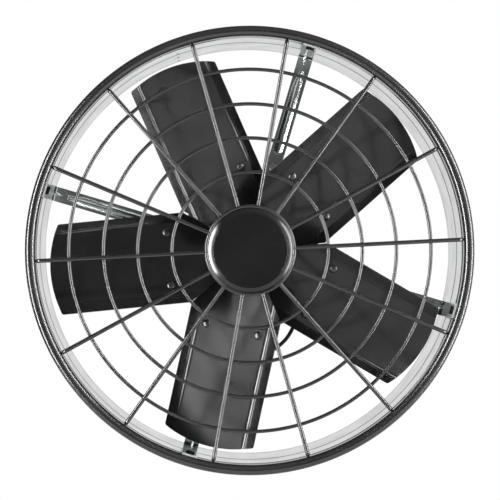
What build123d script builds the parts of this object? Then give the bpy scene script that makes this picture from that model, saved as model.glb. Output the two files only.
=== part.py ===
from build123d import *
from math import cos, pi, radians, sin, tan
import os

# An industrial exhaust fan: a rimmed sleeve with a wire guard, four strip arms that carry
# a capacitor motor, and a five-blade sheet-metal wheel on the motor's shaft.
# The fan's axis is Y and its front faces -Y. The origin is on that axis, in the plane of
# the wall that the rim's back edge meets. Angles run anticlockwise from +X, seen from the
# front. All lengths are millimetres.

# General
seat_gap = 0.1
bore_clearance = 0.03
hole_clearance = 0.25

# Front rim
rim_radius = 250.0
rim_bead_radius = 5.3
rim_leg = 9.7
rim_sheet = 1.0
rim_flange = 3.0

# Sleeve
sleeve_sheet = 1.0
sleeve_rear = 132.0
sleeve_tuck = 9.4
bead_width = 8.0
bead_places = (14.0, 61.0)
hem_length = 8.0

# Wire guard
spoke_count = 14
first_spoke = 2.9
spoke_wire = 2.3
ring_wire = 2.0
ring_radii = (87.0, 125.0, 163.0, 201.5)
hub_ring_radius = 49.0
guard_inset = 2.5
weld_depth = 0.4
spoke_bend = 4.0
spoke_tail_end = 1.5

# Guard disc
disc_wall = 1.8
disc_bevel_width = 4.9
disc_bevel_height = 2.3
disc_ledge = 0.8
disc_recess = 0.5
disc_stand_out = 0.9
disc_lip = 0.8

# Support arms
arm_count = 4
first_arm = 73.5
arm_width = 17.0
arm_sheet = 2.0
arm_bend = 3.0
arm_plane = 86.5
arm_foot_front = -11.0
arm_inner_radius = 92.0
arm_corner = 4.0
rib_width = 11.0
rib_height = 3.2
rib_inner_radius = 118.0
rib_outer_radius = 219.0
rib_run_out = 20.0
rib_tip = 1.5
rib_wall = 1.8
rib_taper = 25.0
hollow_taper = 20.0
dart_leg = 14.0
dart_width = 6.0
dart_wall = 1.8

# Threads and hexagon fasteners
bolt_radius = 2.5
bolt_flats = 8.0
bolt_head = 3.5
nut_height = 4.0
thread_stand_out = 1.0
wall_bolt_y = -5.0
bracket_bolt_margin = 9.7
head_face = 0.95
head_cone = 60.0

# Motor bracket and covers
bracket_sheet = 2.5
bracket_radius = 82.0
bracket_bore = 22.0
ear_width = 16.0
ear_margin = 8.3
tie_circle = 73.0
lug_radius = 6.5
motor_radius = 68.0
shell_sheet = 3.0
shell_length = 62.0
cover_plate = 5.0
spigot_depth = 3.0
spigot_wall = 3.0
boss_radius = 21.0
boss_front = 3.0
boss_web = 6.0
boss_lip = 2.0
cap_pocket = 3.0
cover_rib_count = 8
cover_rib_width = 4.0
cover_rib_height = 3.0
cover_rib_margin = 6.0
cover_rib_taper = 8.0
cover_edge = 1.2
cap_pocket_radius = 9.0
cap_wall = 3.0

# Bearings, shaft and electrical parts
shaft_radius = 6.0
bearing_radius = 16.0
bearing_width = 10.0
bearing_groove = 0.6
shaft_hole = 7.0
collar_radius = 8.5
collar_gap = 1.5
core_length = 36.0
air_gap = 0.4
rotor_radius = 35.6
slot_count = 24
slot_width = 4.0
slot_depth = 15.0
winding_length = 10.0
winding_wall = 16.0
winding_set_back = 4.0
end_ring_length = 4.0
end_ring_wall = 12.0
shaft_tail = 1.5
shaft_chamfer = 0.8

# Fan wheel
blade_count = 5
first_blade = 41.6
blade_pitch = 25.0
blade_y = 36.0
blade_sheet = 1.2
panel_half = 42.6
flange_width = 16.1
flange_angle = 11.0
crease_height = 0.9
crease_half = 2.0
crease_bend = 1.5
blade_root = 42.0
blade_half = 51.5
blade_tip = 227.0
tip_arc = 124.0
tip_corner = 3.0
blade_gap = 0.4
rivet_radius = 2.5
rivet_head_radius = 5.0
rivet_head = 2.4
rivet_tail_radius = 4.0
rivet_tail = 1.8
rivet_place = 92.0
rivet_side = 33.1
pad_sheet = 2.5
pad_reach = 115.0
pad_half = 36.0
pad_corner = 8.0
hub_radius = 36.0
hub_wall = 4.0
hub_web = 5.0
hub_boss_radius = 13.0
hub_front = 21.0
hub_rear = 58.0
hub_edge = 2.0
rivet_dome = 0.85
washer_radius = 12.0
washer_sheet = 2.0
hub_nut_flats = 18.0
hub_nut_height = 8.0

# Lead, glands and terminal box
lead_radius = 2.25
lead_y = 104.0
lead_angle = -52.0
lead_inside = 6.0
lead_exit = 5.0
lead_entry = 9.0
lead_route = [
    (54.6, -77.0),
    (54.0, -88.5),
    (46.3, -102.3),
    (36.5, -112.0),
    (22.0, -121.5),
]
gland_collar_radius = 7.0
gland_collar = 2.0
gland_body_radius = 6.0
gland_body = 7.0
gland_body_taper = 8.0
gland_neck_radius = 4.2
box_arm = 2
box_middle = 141.0
box_length = 56.0
box_width = 40.0
box_depth = 34.0
box_wall = 2.0
box_corner = 4.0
box_gland_offset = -16.0
supply_gland_offset = 9.0
box_edge = 1.0
post_radius = 2.5
post_inset = 3.6
lid_sheet = 2.5
lid_screw_depth = 10.0
small_screw = 1.2
small_head_radius = 2.6
small_head = 1.8
box_screw_spacing = 32.0
box_screw_depth = 1.5
box_boss_radius = 2.2
capacitor_radius = 12.0
capacitor_length = 28.0
terminal_block_size = (10.0, 24.0, 12.0)
block_margin = 3.0

# Worked out from the sizes above
rim_width = 2 * rim_bead_radius
rim_inner = rim_radius - rim_width
rim_middle = rim_radius - rim_bead_radius
rim_front = -(rim_leg + rim_bead_radius)
sleeve_inner = rim_inner + rim_sheet + seat_gap
sleeve_outer = sleeve_inner + sleeve_sheet
foot_outer = rim_inner - 2 * seat_gap
foot_inner = foot_outer - arm_sheet
arm_rear = arm_plane + arm_sheet
bracket_bolt_radius = arm_inner_radius + bracket_bolt_margin
ear_reach = bracket_bolt_radius + ear_margin
bracket_rear = arm_rear + bracket_sheet
shell_front = bracket_rear + cover_plate
shell_rear = shell_front + shell_length
motor_inner = motor_radius - shell_sheet
motor_rear = shell_rear + cover_plate
front_seat = bracket_rear - boss_front + boss_web
rear_seat = shell_rear - boss_lip
bearing_seat_radius = bearing_radius + bore_clearance
spigot_outer = motor_inner - bore_clearance
core_front = (shell_front + shell_rear - core_length) / 2
core_rear = core_front + core_length
stator_bore = rotor_radius + air_gap
stator_radius = motor_inner - bore_clearance
shaft_front = hub_front - washer_sheet - hub_nut_height - thread_stand_out
shaft_rear = rear_seat + bearing_width + shaft_tail
collar_rear = bracket_rear - boss_front - collar_gap
hub_bore = shaft_radius + bore_clearance
spoke_y = rim_front + guard_inset
ring_y = spoke_y + spoke_wire + ring_wire - weld_depth
disc_radius = hub_ring_radius - ring_wire - seat_gap
disc_front = rim_front - disc_stand_out + disc_recess
box_floor = arm_rear + box_wall
box_gland_radius = box_middle + box_gland_offset
supply_gland_radius = box_middle + supply_gland_offset
box_screw_places = (box_middle - box_screw_spacing / 2, box_middle + box_screw_spacing / 2)
block_inner = box_middle - box_length / 2 + box_wall + block_margin
terminal_block_place = block_inner + terminal_block_size[0] / 2
capacitor_inner = block_inner + terminal_block_size[0] + block_margin
lid_front = arm_rear + box_depth
half_sector = 180 / blade_count
wheel_room = sleeve_rear - rim_front
arm_angles = [first_arm + k * 360 / arm_count for k in range(arm_count)]
tie_angles = [angle + 180 / arm_count for angle in arm_angles]
blade_angles = [first_blade + k * 360 / blade_count for k in range(blade_count)]
box_angle = arm_angles[box_arm]

os.makedirs("parts", exist_ok=True)


def radial(angle):
    """Unit vector that points outwards from the fan's axis at this angle."""
    return Vector(1, 0, 0).rotate(Axis.Y, -angle)


def tangent(angle):
    """Unit vector across that direction, anticlockwise as seen from the front."""
    return Vector(0, 0, 1).rotate(Axis.Y, -angle)


def front_plane(y):
    """Plane square to the axis at this depth: local x is +X, local y is +Z, normal -Y."""
    return Plane.XZ.offset(-y)


def side_plane(angle):
    """Plane through the axis: local x runs outwards at this angle and local y is +Y."""
    return Plane(origin=(0, 0, 0), x_dir=radial(angle), z_dir=tangent(angle))


def wall_plane(angle, radius, y):
    """Plane that faces the axis at this radius, with its normal pointing inwards."""
    place = radial(angle) * radius + Vector(0, y, 0)
    return Plane(origin=place, x_dir=(0, 1, 0), z_dir=radial(angle) * -1)


def arm_face(angle, radius, y):
    """Plane square to the axis whose origin is at this radius and whose x runs outwards."""
    place = radial(angle) * radius + Vector(0, y, 0)
    return Plane(origin=place, x_dir=radial(angle), z_dir=(0, -1, 0))


def blade_plane(angle):
    """Mid-plane of a pitched blade: local x outwards, local y to its leading edge."""
    pitch = radians(blade_pitch)
    forwards = Vector(0, -cos(pitch), 0) - tangent(angle) * sin(pitch)
    return Plane(origin=(0, blade_y, 0), x_dir=radial(angle), z_dir=forwards)


def corner_cone(seat, flats, height):
    """Cone that turns off a hexagon's corners round its top face."""
    with BuildPart() as cone:
        with BuildSketch(seat):
            Circle(head_face * flats / 2 + height * tan(radians(head_cone)))
        extrude(amount=height, taper=head_cone)
    return cone.part


def hex_bolt(seat, grip, thread=bolt_radius, flats=bolt_flats, head=bolt_head):
    """Hexagon-head bolt: its head stands on the seat and its shank goes through the grip."""
    with BuildPart() as bolt:
        with BuildSketch(seat):
            RegularPolygon(radius=flats / 2, side_count=6, major_radius=False)
        extrude(amount=head)
        add(corner_cone(seat, flats, head), mode=Mode.INTERSECT)
        with BuildSketch(seat):
            Circle(thread)
        extrude(amount=-grip)
    return bolt.part


def hex_nut(seat, height=nut_height, thread=bolt_radius, flats=bolt_flats):
    """Hexagon nut that stands on the seat, with its thread's bore left plain."""
    with BuildPart() as nut:
        with BuildSketch(seat):
            RegularPolygon(radius=flats / 2, side_count=6, major_radius=False)
            Circle(thread + bore_clearance, mode=Mode.SUBTRACT)
        extrude(amount=height)
        add(corner_cone(seat, flats, height), mode=Mode.INTERSECT)
    return nut.part


def pan_screw(seat, grip):
    """Small pan-head screw: its head stands on the seat."""
    with BuildPart() as screw:
        with BuildSketch(seat):
            Circle(small_head_radius)
        extrude(amount=small_head)
        with BuildSketch(seat):
            Circle(small_screw)
        extrude(amount=-grip)
    return screw.part


def cable_gland(seat, neck):
    """Moulded gland: a neck in the wall, a collar on it and a tapered body round the lead."""
    with BuildPart() as gland:
        with BuildSketch(seat):
            Circle(gland_collar_radius)
        extrude(amount=gland_collar)
        with BuildSketch(seat.offset(gland_collar)):
            Circle(gland_body_radius)
        extrude(amount=gland_body, taper=gland_body_taper)
        with BuildSketch(seat):
            Circle(gland_neck_radius)
        extrude(amount=-neck)
        with BuildSketch(seat.offset(-neck)):
            Circle(lead_radius + seat_gap)
        extrude(amount=neck + gland_collar + gland_body, mode=Mode.SUBTRACT)
    return gland.part


def ring_bearing(front):
    """Sealed ball bearing as one ring, with a groove on each face round its seals."""
    groove_inner = (shaft_radius + bearing_radius) / 2 - bearing_groove * 4
    groove_outer = (shaft_radius + bearing_radius) / 2 + bearing_groove * 4
    with BuildPart() as bearing:
        with BuildSketch(front_plane(front)):
            Circle(bearing_radius)
            Circle(hub_bore, mode=Mode.SUBTRACT)
        extrude(amount=-bearing_width)
        for depth in (front + bearing_groove, front + bearing_width):
            with BuildSketch(front_plane(depth)):
                Circle(groove_outer)
                Circle(groove_inner, mode=Mode.SUBTRACT)
            extrude(amount=bearing_groove, mode=Mode.SUBTRACT)
    return bearing.part


def rear_plane(angle, radius, across, y):
    """Plane that faces the rear at a point given by its radius and its place across it."""
    place = radial(angle) * radius + tangent(angle) * across + Vector(0, y, 0)
    return Plane(origin=place, x_dir=radial(angle), z_dir=(0, 1, 0))


def box_side(radius, across):
    """Plane on a long side of the terminal box, facing away from its middle."""
    place = radial(box_angle) * radius + tangent(box_angle) * across + Vector(0, lead_y, 0)
    outwards = tangent(box_angle) * (1 if across > 0 else -1)
    return Plane(origin=place, x_dir=radial(box_angle), z_dir=outwards)


def sector_outline(angle, inner, outer, half_width, end_arc, corner):
    """Outline of a blade or pad in front of it: parallel sides, curved end, wedge at its root."""
    apex = blade_gap / sin(radians(half_sector))
    wedge_half = (outer - apex) * tan(radians(half_sector))
    with BuildSketch(arm_face(angle, 0, rim_front)) as outline:
        with BuildLine():
            Polyline((apex, 0), (outer, wedge_half), (outer, -wedge_half), close=True)
        make_face()
        Rectangle(2 * outer, 2 * half_width, mode=Mode.INTERSECT)
        with Locations((outer - end_arc, 0)):
            Circle(end_arc, mode=Mode.INTERSECT)
        fillet(outline.vertices().sort_by(Axis.X)[-2:], radius=corner)
        Circle(inner, mode=Mode.SUBTRACT)
    return outline.sketch


def cover_lugs(front):
    """Lugs round a motor cover, one at each tie bolt."""
    with BuildPart() as lugs:
        with BuildSketch(front_plane(front)):
            with PolarLocations(tie_circle, arm_count, start_angle=tie_angles[0]):
                Circle(lug_radius)
        extrude(amount=-cover_plate)
    return lugs.part


def cover_ribs(seat):
    """Ribs on the back of a motor cover, from its bearing boss out towards its edge."""
    length = motor_radius - cover_rib_margin - boss_radius + cap_wall
    with BuildPart() as ribs:
        with BuildSketch(rear_plane(0, 0, 0, seat)):
            with PolarLocations(motor_radius - cover_rib_margin - length / 2, cover_rib_count):
                SlotOverall(length, cover_rib_width)
        extrude(amount=cover_rib_height, taper=cover_rib_taper)
    return ribs.part


def tie_holes(front):
    """Cutter for the tie bolts' holes in a motor cover."""
    with BuildPart() as holes:
        with BuildSketch(front_plane(front)):
            with PolarLocations(tie_circle, arm_count, start_angle=tie_angles[0]):
                Circle(bolt_radius + hole_clearance)
        extrude(amount=-cover_plate)
    return holes.part


# Sleeve: a rolled sheet with two beads pressed inwards and its rear edge folded in
bead_crest = rim_inner
bead_depth = sleeve_inner - bead_crest
with BuildPart() as sleeve:
    with BuildSketch(Plane.XY):
        with BuildLine():
            corners = [(sleeve_inner, -sleeve_tuck)]
            for place in bead_places:
                corners.append((sleeve_inner, place - bead_width / 2))
                corners.append((bead_crest, place - bead_width / 4))
                corners.append((bead_crest, place + bead_width / 4))
                corners.append((sleeve_inner, place + bead_width / 2))
            corners.append((sleeve_inner, sleeve_rear - hem_length))
            corners.append((sleeve_inner - sleeve_sheet, sleeve_rear - hem_length))
            corners.append((sleeve_inner - sleeve_sheet, sleeve_rear))
            corners.append((sleeve_outer, sleeve_rear))
            for place in reversed(bead_places):
                corners.append((sleeve_outer, place + bead_width / 2))
                corners.append((bead_crest + sleeve_sheet, place + bead_width / 4))
                corners.append((bead_crest + sleeve_sheet, place - bead_width / 4))
                corners.append((sleeve_outer, place - bead_width / 2))
            corners.append((sleeve_outer, -sleeve_tuck))
            Polyline(*corners, close=True)
        make_face()
    revolve(axis=Axis.Y)
    for angle in arm_angles:
        with BuildSketch(wall_plane(angle, foot_outer, wall_bolt_y)):
            Circle(bolt_radius + hole_clearance)
        extrude(amount=-bead_depth - 2 * sleeve_sheet, mode=Mode.SUBTRACT)
sleeve.part.label = "sleeve"
export_step(sleeve.part, "parts/sleeve.step")

# Front rim: a half-round bead whose two legs straddle the sleeve's front edge
with BuildPart() as front_rim:
    with BuildSketch(Plane.XY):
        with BuildLine():
            Line((rim_radius, 0), (rim_radius, -rim_leg))
            ThreePointArc((rim_radius, -rim_leg), (rim_middle, rim_front), (rim_inner, -rim_leg))
            Line((rim_inner, -rim_leg), (rim_inner, 0))
            Line((rim_inner, 0), (rim_inner + rim_sheet, 0))
            Line((rim_inner + rim_sheet, 0), (rim_inner + rim_sheet, -rim_leg))
            ThreePointArc(
                (rim_inner + rim_sheet, -rim_leg),
                (rim_middle, rim_front + rim_sheet),
                (rim_radius - rim_sheet, -rim_leg),
            )
            Polyline(
                (rim_radius - rim_sheet, -rim_leg),
                (rim_radius - rim_sheet, -rim_sheet),
                (rim_radius - rim_flange, -rim_sheet),
                (rim_radius - rim_flange, 0),
                (rim_radius, 0),
            )
        make_face()
    revolve(axis=Axis.Y)
    for angle in arm_angles:
        with BuildSketch(wall_plane(angle, foot_outer, wall_bolt_y)):
            Circle(bolt_radius + hole_clearance)
        extrude(amount=-2 * seat_gap - 2 * rim_sheet, mode=Mode.SUBTRACT)
front_rim.part.label = "front_rim"
export_step(front_rim.part, "parts/front_rim.step")

# Wire guard: fourteen spokes welded across four rings and butted on the middle ring
spoke_tail = rim_inner - spoke_wire - seat_gap
spoke_root = hub_ring_radius + ring_wire - weld_depth
with BuildPart() as spoke:
    with BuildLine(side_plane(0)) as spoke_path:
        straight = Line((spoke_root, spoke_y), (spoke_tail - spoke_bend, spoke_y))
        bend = TangentArc(
            straight @ 1, (spoke_tail, spoke_y + spoke_bend), tangent=straight % 1
        )
        Line(bend @ 1, (spoke_tail, -spoke_tail_end))
    with BuildSketch(Plane(origin=straight @ 0, z_dir=straight % 0)):
        Circle(spoke_wire)
    sweep()
with BuildPart() as wire_guard:
    with BuildSketch(Plane.XY):
        with Locations((hub_ring_radius, spoke_y)):
            Circle(ring_wire)
        with Locations(*[(radius, ring_y) for radius in ring_radii]):
            Circle(ring_wire)
    revolve(axis=Axis.Y)
    for k in range(spoke_count):
        add(spoke.part.rotate(Axis.Y, -(first_spoke + k * 360 / spoke_count)))
wire_guard.part.label = "wire_guard"
export_step(wire_guard.part, "parts/wire_guard.step")

# Guard disc: a bevelled disc with a shallow recess, snapped into the middle ring
with BuildPart() as guard_disc:
    with BuildSketch(Plane.XY):
        with BuildLine():
            disc_edge = disc_front - disc_recess
            bevel_inner = disc_radius - disc_bevel_width
            skirt_rear = spoke_y + ring_wire + disc_lip
            Polyline(
                (0, disc_front),
                (bevel_inner - disc_ledge, disc_front),
                (bevel_inner - disc_ledge, disc_edge),
                (bevel_inner, disc_edge),
                (disc_radius, disc_edge + disc_bevel_height),
                (disc_radius, skirt_rear - disc_lip / 2),
                (disc_radius + disc_lip, skirt_rear),
                (disc_radius + disc_lip, skirt_rear + disc_lip),
                (disc_radius - disc_wall, skirt_rear + disc_lip),
                (disc_radius - disc_wall, disc_edge + disc_bevel_height + disc_wall),
                (bevel_inner - disc_ledge, disc_front + disc_wall),
                (0, disc_front + disc_wall),
                close=True,
            )
        make_face()
    revolve(axis=Axis.Y)
guard_disc.part.label = "guard_disc"
export_step(guard_disc.part, "parts/guard_disc.step")


def support_arm(angle):
    """Strip arm: a foot along the wall, a bend with a dart, and a ribbed limb to the motor."""
    foot_middle = (foot_inner + foot_outer) / 2
    limb_middle = (arm_plane + arm_rear) / 2
    rib_full = rib_outer_radius - rib_run_out
    with BuildPart() as arm:
        # The bent strip
        with BuildSketch(side_plane(angle)):
            with BuildLine():
                FilletPolyline(
                    (arm_inner_radius, limb_middle),
                    (foot_middle, limb_middle),
                    (foot_middle, arm_foot_front),
                    radius=arm_bend + arm_sheet / 2,
                )
            trace(line_width=arm_sheet)
        extrude(amount=arm_width / 2, both=True)
        ends = arm.edges().filter_by(Axis.Y).group_by(lambda e: e.center().dot(radial(angle)))
        fillet(ends[0], radius=arm_corner)
        # The dart across the bend, pressed from its back
        with BuildSketch(side_plane(angle)):
            with BuildLine():
                Polyline(
                    (foot_inner, arm_plane),
                    (foot_inner - dart_leg, arm_plane),
                    (foot_inner, arm_plane - dart_leg),
                    close=True,
                )
            make_face()
        extrude(amount=dart_width / 2, both=True)
        dart_back = dart_leg + 2 * arm_sheet - dart_wall * 2**0.5
        with BuildSketch(side_plane(angle)):
            with BuildLine():
                Polyline(
                    (foot_outer, arm_rear),
                    (foot_outer - dart_back, arm_rear),
                    (foot_outer, arm_rear - dart_back),
                    close=True,
                )
            make_face()
        extrude(amount=dart_width / 2 - dart_wall, both=True, mode=Mode.SUBTRACT)
        # The rib along the limb, pressed from its back
        with BuildSketch(arm_face(angle, 0, arm_plane)):
            with Locations((rib_inner_radius + rib_width / 2, 0), (rib_full, 0)):
                Circle(rib_width / 2)
            with Locations((rib_outer_radius - rib_tip, 0)):
                Circle(rib_tip)
            make_hull()
        extrude(amount=rib_height, taper=rib_taper)
        with BuildSketch(arm_face(angle, 0, arm_rear)):
            with Locations((rib_inner_radius + rib_width / 2, 0), (rib_full, 0)):
                Circle(rib_width / 2 - rib_wall)
            make_hull()
        extrude(
            amount=arm_sheet + rib_height - rib_wall, taper=hollow_taper, mode=Mode.SUBTRACT
        )
        # Bolt holes in the foot and in the inner end
        with BuildSketch(wall_plane(angle, foot_inner, wall_bolt_y)):
            Circle(bolt_radius + hole_clearance)
        extrude(amount=-arm_sheet, mode=Mode.SUBTRACT)
        with BuildSketch(arm_face(angle, bracket_bolt_radius, arm_plane)):
            Circle(bolt_radius + hole_clearance)
        extrude(amount=-arm_sheet, mode=Mode.SUBTRACT)
        # Screw holes in the crest of the rib of the arm that carries the terminal box
        if angle == arm_angles[box_arm]:
            for place in box_screw_places:
                with BuildSketch(arm_face(angle, place, arm_plane - rib_height)):
                    Circle(small_screw + seat_gap)
                extrude(amount=-rib_wall, mode=Mode.SUBTRACT)
    return arm.part


for k, angle in enumerate(arm_angles):
    arm = support_arm(angle)
    arm.label = f"support_arm_{k + 1}"
    export_step(arm, f"parts/support_arm_{k + 1}.step")

# Bolts and nuts that hold each arm's foot, the rim and the sleeve together
with BuildPart() as wall_bolts:
    for angle in arm_angles:
        grip = sleeve_outer + nut_height + thread_stand_out - foot_inner
        add(hex_bolt(wall_plane(angle, foot_inner, wall_bolt_y), grip))
wall_bolts.part.label = "wall_bolts"
export_step(wall_bolts.part, "parts/wall_bolts.step")

with BuildPart() as wall_nuts:
    for angle in arm_angles:
        add(hex_nut(wall_plane(angle, sleeve_outer + nut_height, wall_bolt_y)))
wall_nuts.part.label = "wall_nuts"
export_step(wall_nuts.part, "parts/wall_nuts.step")

# Motor bracket: a ring with an ear for each arm
with BuildPart() as motor_bracket:
    ear_length = ear_reach - bracket_bore
    with BuildSketch(front_plane(arm_rear)):
        Circle(bracket_radius)
        with PolarLocations(ear_reach - ear_length / 2, arm_count, start_angle=first_arm):
            SlotOverall(ear_length, ear_width)
        Circle(bracket_bore, mode=Mode.SUBTRACT)
        with PolarLocations(bracket_bolt_radius, arm_count, start_angle=first_arm):
            Circle(bolt_radius + hole_clearance, mode=Mode.SUBTRACT)
        with PolarLocations(tie_circle, arm_count, start_angle=tie_angles[0]):
            Circle(bolt_radius + hole_clearance, mode=Mode.SUBTRACT)
    extrude(amount=-bracket_sheet)
motor_bracket.part.label = "motor_bracket"
export_step(motor_bracket.part, "parts/motor_bracket.step")

with BuildPart() as bracket_bolts:
    for angle in arm_angles:
        grip = arm_sheet + bracket_sheet + nut_height + thread_stand_out
        add(hex_bolt(arm_face(angle, bracket_bolt_radius, arm_plane), grip))
bracket_bolts.part.label = "bracket_bolts"
export_step(bracket_bolts.part, "parts/bracket_bolts.step")

with BuildPart() as bracket_nuts:
    for angle in arm_angles:
        add(hex_nut(rear_plane(angle, bracket_bolt_radius, 0, bracket_rear)))
bracket_nuts.part.label = "bracket_nuts"
export_step(bracket_nuts.part, "parts/bracket_nuts.step")

# Motor covers: cast end shields, each with a bearing seat, a spigot and four lugs
with BuildPart() as motor_front_cover:
    with BuildSketch(Plane.XY):
        with BuildLine():
            Polyline(
                (shaft_hole, bracket_rear - boss_front),
                (boss_radius, bracket_rear - boss_front),
                (boss_radius, bracket_rear),
                (motor_radius, bracket_rear),
                (motor_radius, shell_front),
                (spigot_outer, shell_front),
                (spigot_outer, shell_front + spigot_depth),
                (spigot_outer - spigot_wall, shell_front + spigot_depth),
                (spigot_outer - spigot_wall, shell_front),
                (boss_radius, shell_front),
                (boss_radius, front_seat + bearing_width + boss_lip),
                (bearing_seat_radius, front_seat + bearing_width + boss_lip),
                (bearing_seat_radius, front_seat),
                (shaft_hole, front_seat),
                close=True,
            )
        make_face()
    revolve(axis=Axis.Y)
    add(cover_lugs(bracket_rear))
    add(tie_holes(bracket_rear), mode=Mode.SUBTRACT)
motor_front_cover.part.label = "motor_front_cover"
export_step(motor_front_cover.part, "parts/motor_front_cover.step")

with BuildPart() as motor_rear_cover:
    bearing_rear = rear_seat + bearing_width
    cap_rear = bearing_rear + cap_pocket + cap_wall
    with BuildSketch(Plane.XY):
        with BuildLine():
            Polyline(
                (0, cap_rear),
                (boss_radius - cap_wall, cap_rear),
                (boss_radius, cap_rear - cap_wall),
                (boss_radius, motor_rear),
                (motor_radius, motor_rear),
                (motor_radius, shell_rear),
                (spigot_outer, shell_rear),
                (spigot_outer, shell_rear - spigot_depth),
                (spigot_outer - spigot_wall, shell_rear - spigot_depth),
                (spigot_outer - spigot_wall, shell_rear),
                (boss_radius, shell_rear),
                (boss_radius, rear_seat - boss_lip),
                (bearing_seat_radius, rear_seat - boss_lip),
                (bearing_seat_radius, bearing_rear),
                (cap_pocket_radius, bearing_rear),
                (cap_pocket_radius, bearing_rear + cap_pocket),
                (0, bearing_rear + cap_pocket),
                close=True,
            )
        make_face()
    revolve(axis=Axis.Y)
    rims = motor_rear_cover.edges().filter_by(GeomType.CIRCLE)
    fillet(rims.filter_by_position(Axis.Y, motor_rear, motor_rear), radius=cover_edge)
    add(cover_ribs(motor_rear))
    add(cover_lugs(shell_rear))
    add(tie_holes(shell_rear), mode=Mode.SUBTRACT)
motor_rear_cover.part.label = "motor_rear_cover"
export_step(motor_rear_cover.part, "parts/motor_rear_cover.step")

# Motor shell: a tube between the covers, with a hole for the lead's gland
motor_gland_seat = wall_plane(lead_angle, motor_radius + seat_gap, lead_y)
motor_gland_seat = Plane(
    origin=motor_gland_seat.origin, x_dir=motor_gland_seat.x_dir, z_dir=radial(lead_angle)
)
with BuildPart() as motor_shell:
    with BuildSketch(front_plane(shell_front)):
        Circle(motor_radius)
        Circle(motor_inner, mode=Mode.SUBTRACT)
    extrude(amount=-shell_length)
    with BuildSketch(motor_gland_seat):
        Circle(gland_neck_radius + seat_gap)
    extrude(amount=-2 * shell_sheet, mode=Mode.SUBTRACT)
motor_shell.part.label = "motor_shell"
export_step(motor_shell.part, "parts/motor_shell.step")

# Stator: a slotted core with an end winding on each face
with BuildPart() as stator_core:
    with BuildSketch(front_plane(core_front)):
        Circle(stator_radius)
        Circle(stator_bore, mode=Mode.SUBTRACT)
        with PolarLocations(stator_bore + slot_depth / 2, slot_count):
            Rectangle(slot_depth + slot_width, slot_width, mode=Mode.SUBTRACT)
    extrude(amount=-core_length)
stator_core.part.label = "stator_core"
export_step(stator_core.part, "parts/stator_core.step")

with BuildPart() as stator_windings:
    winding_inner = stator_bore + winding_set_back
    with BuildSketch(Plane.XY):
        for start in (core_front - winding_length, core_rear):
            with Locations((winding_inner, start)):
                Rectangle(winding_wall, winding_length, align=Align.MIN)
    revolve(axis=Axis.Y)
stator_windings.part.label = "stator_windings"
export_step(stator_windings.part, "parts/stator_windings.step")

# Bearings
front_bearing = ring_bearing(front_seat)
front_bearing.label = "front_bearing"
export_step(front_bearing, "parts/front_bearing.step")

rear_bearing = ring_bearing(rear_seat)
rear_bearing.label = "rear_bearing"
export_step(rear_bearing, "parts/rear_bearing.step")

# Tie bolts: through the bracket, both covers' lugs and past the shell
with BuildPart() as tie_bolts:
    for angle in tie_angles:
        grip = motor_rear - arm_rear + nut_height + thread_stand_out
        add(hex_bolt(arm_face(angle, tie_circle, arm_rear), grip))
tie_bolts.part.label = "tie_bolts"
export_step(tie_bolts.part, "parts/tie_bolts.step")

with BuildPart() as tie_nuts:
    for angle in tie_angles:
        add(hex_nut(rear_plane(angle, tie_circle, 0, motor_rear)))
tie_nuts.part.label = "tie_nuts"
export_step(tie_nuts.part, "parts/tie_nuts.step")

# Terminal box: an open box on the back of one arm, with screw posts in its corners
post_length = box_length - 2 * post_inset
post_width = box_width - 2 * post_inset
box_gland_seat = box_side(box_gland_radius, box_width / 2)
supply_gland_seat = box_side(supply_gland_radius, -box_width / 2)
boss_length = arm_sheet + rib_height - rib_wall - seat_gap
with BuildPart() as terminal_box:
    with BuildSketch(arm_face(box_angle, box_middle, arm_rear)):
        RectangleRounded(box_length, box_width, box_corner)
    extrude(amount=-box_depth)
    fillet(terminal_box.faces().sort_by(Axis.Y)[0].edges(), radius=box_edge)
    with BuildSketch(arm_face(box_angle, box_middle, box_floor)):
        RectangleRounded(
            box_length - 2 * box_wall, box_width - 2 * box_wall, box_corner - box_wall
        )
    extrude(amount=-box_depth, mode=Mode.SUBTRACT)
    with BuildSketch(arm_face(box_angle, box_middle, box_floor)):
        with GridLocations(post_length, post_width, 2, 2):
            Circle(post_radius)
    extrude(amount=-(box_depth - box_wall))
    with BuildSketch(arm_face(box_angle, box_middle, lid_front)):
        with GridLocations(post_length, post_width, 2, 2):
            Circle(small_screw + bore_clearance)
    extrude(amount=lid_screw_depth, mode=Mode.SUBTRACT)
    for place in box_screw_places:
        with BuildSketch(arm_face(box_angle, place, arm_rear)):
            Circle(box_boss_radius)
        extrude(amount=boss_length)
        with BuildSketch(arm_face(box_angle, place, arm_rear - boss_length)):
            Circle(small_screw + bore_clearance)
        extrude(amount=-(boss_length + box_screw_depth), mode=Mode.SUBTRACT)
    for seat in (box_gland_seat, supply_gland_seat):
        with BuildSketch(seat):
            Circle(gland_neck_radius + seat_gap)
        extrude(amount=-box_wall, mode=Mode.SUBTRACT)
terminal_box.part.label = "terminal_box"
export_step(terminal_box.part, "parts/terminal_box.step")

with BuildPart() as terminal_box_lid:
    with BuildSketch(arm_face(box_angle, box_middle, lid_front)):
        RectangleRounded(box_length, box_width, box_corner)
    extrude(amount=-lid_sheet)
    fillet(terminal_box_lid.faces().sort_by(Axis.Y)[-1].edges(), radius=box_edge)
    with BuildSketch(arm_face(box_angle, box_middle, lid_front)):
        with GridLocations(post_length, post_width, 2, 2):
            Circle(small_screw + seat_gap)
    extrude(amount=-lid_sheet, mode=Mode.SUBTRACT)
terminal_box_lid.part.label = "terminal_box_lid"
export_step(terminal_box_lid.part, "parts/terminal_box_lid.step")

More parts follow.
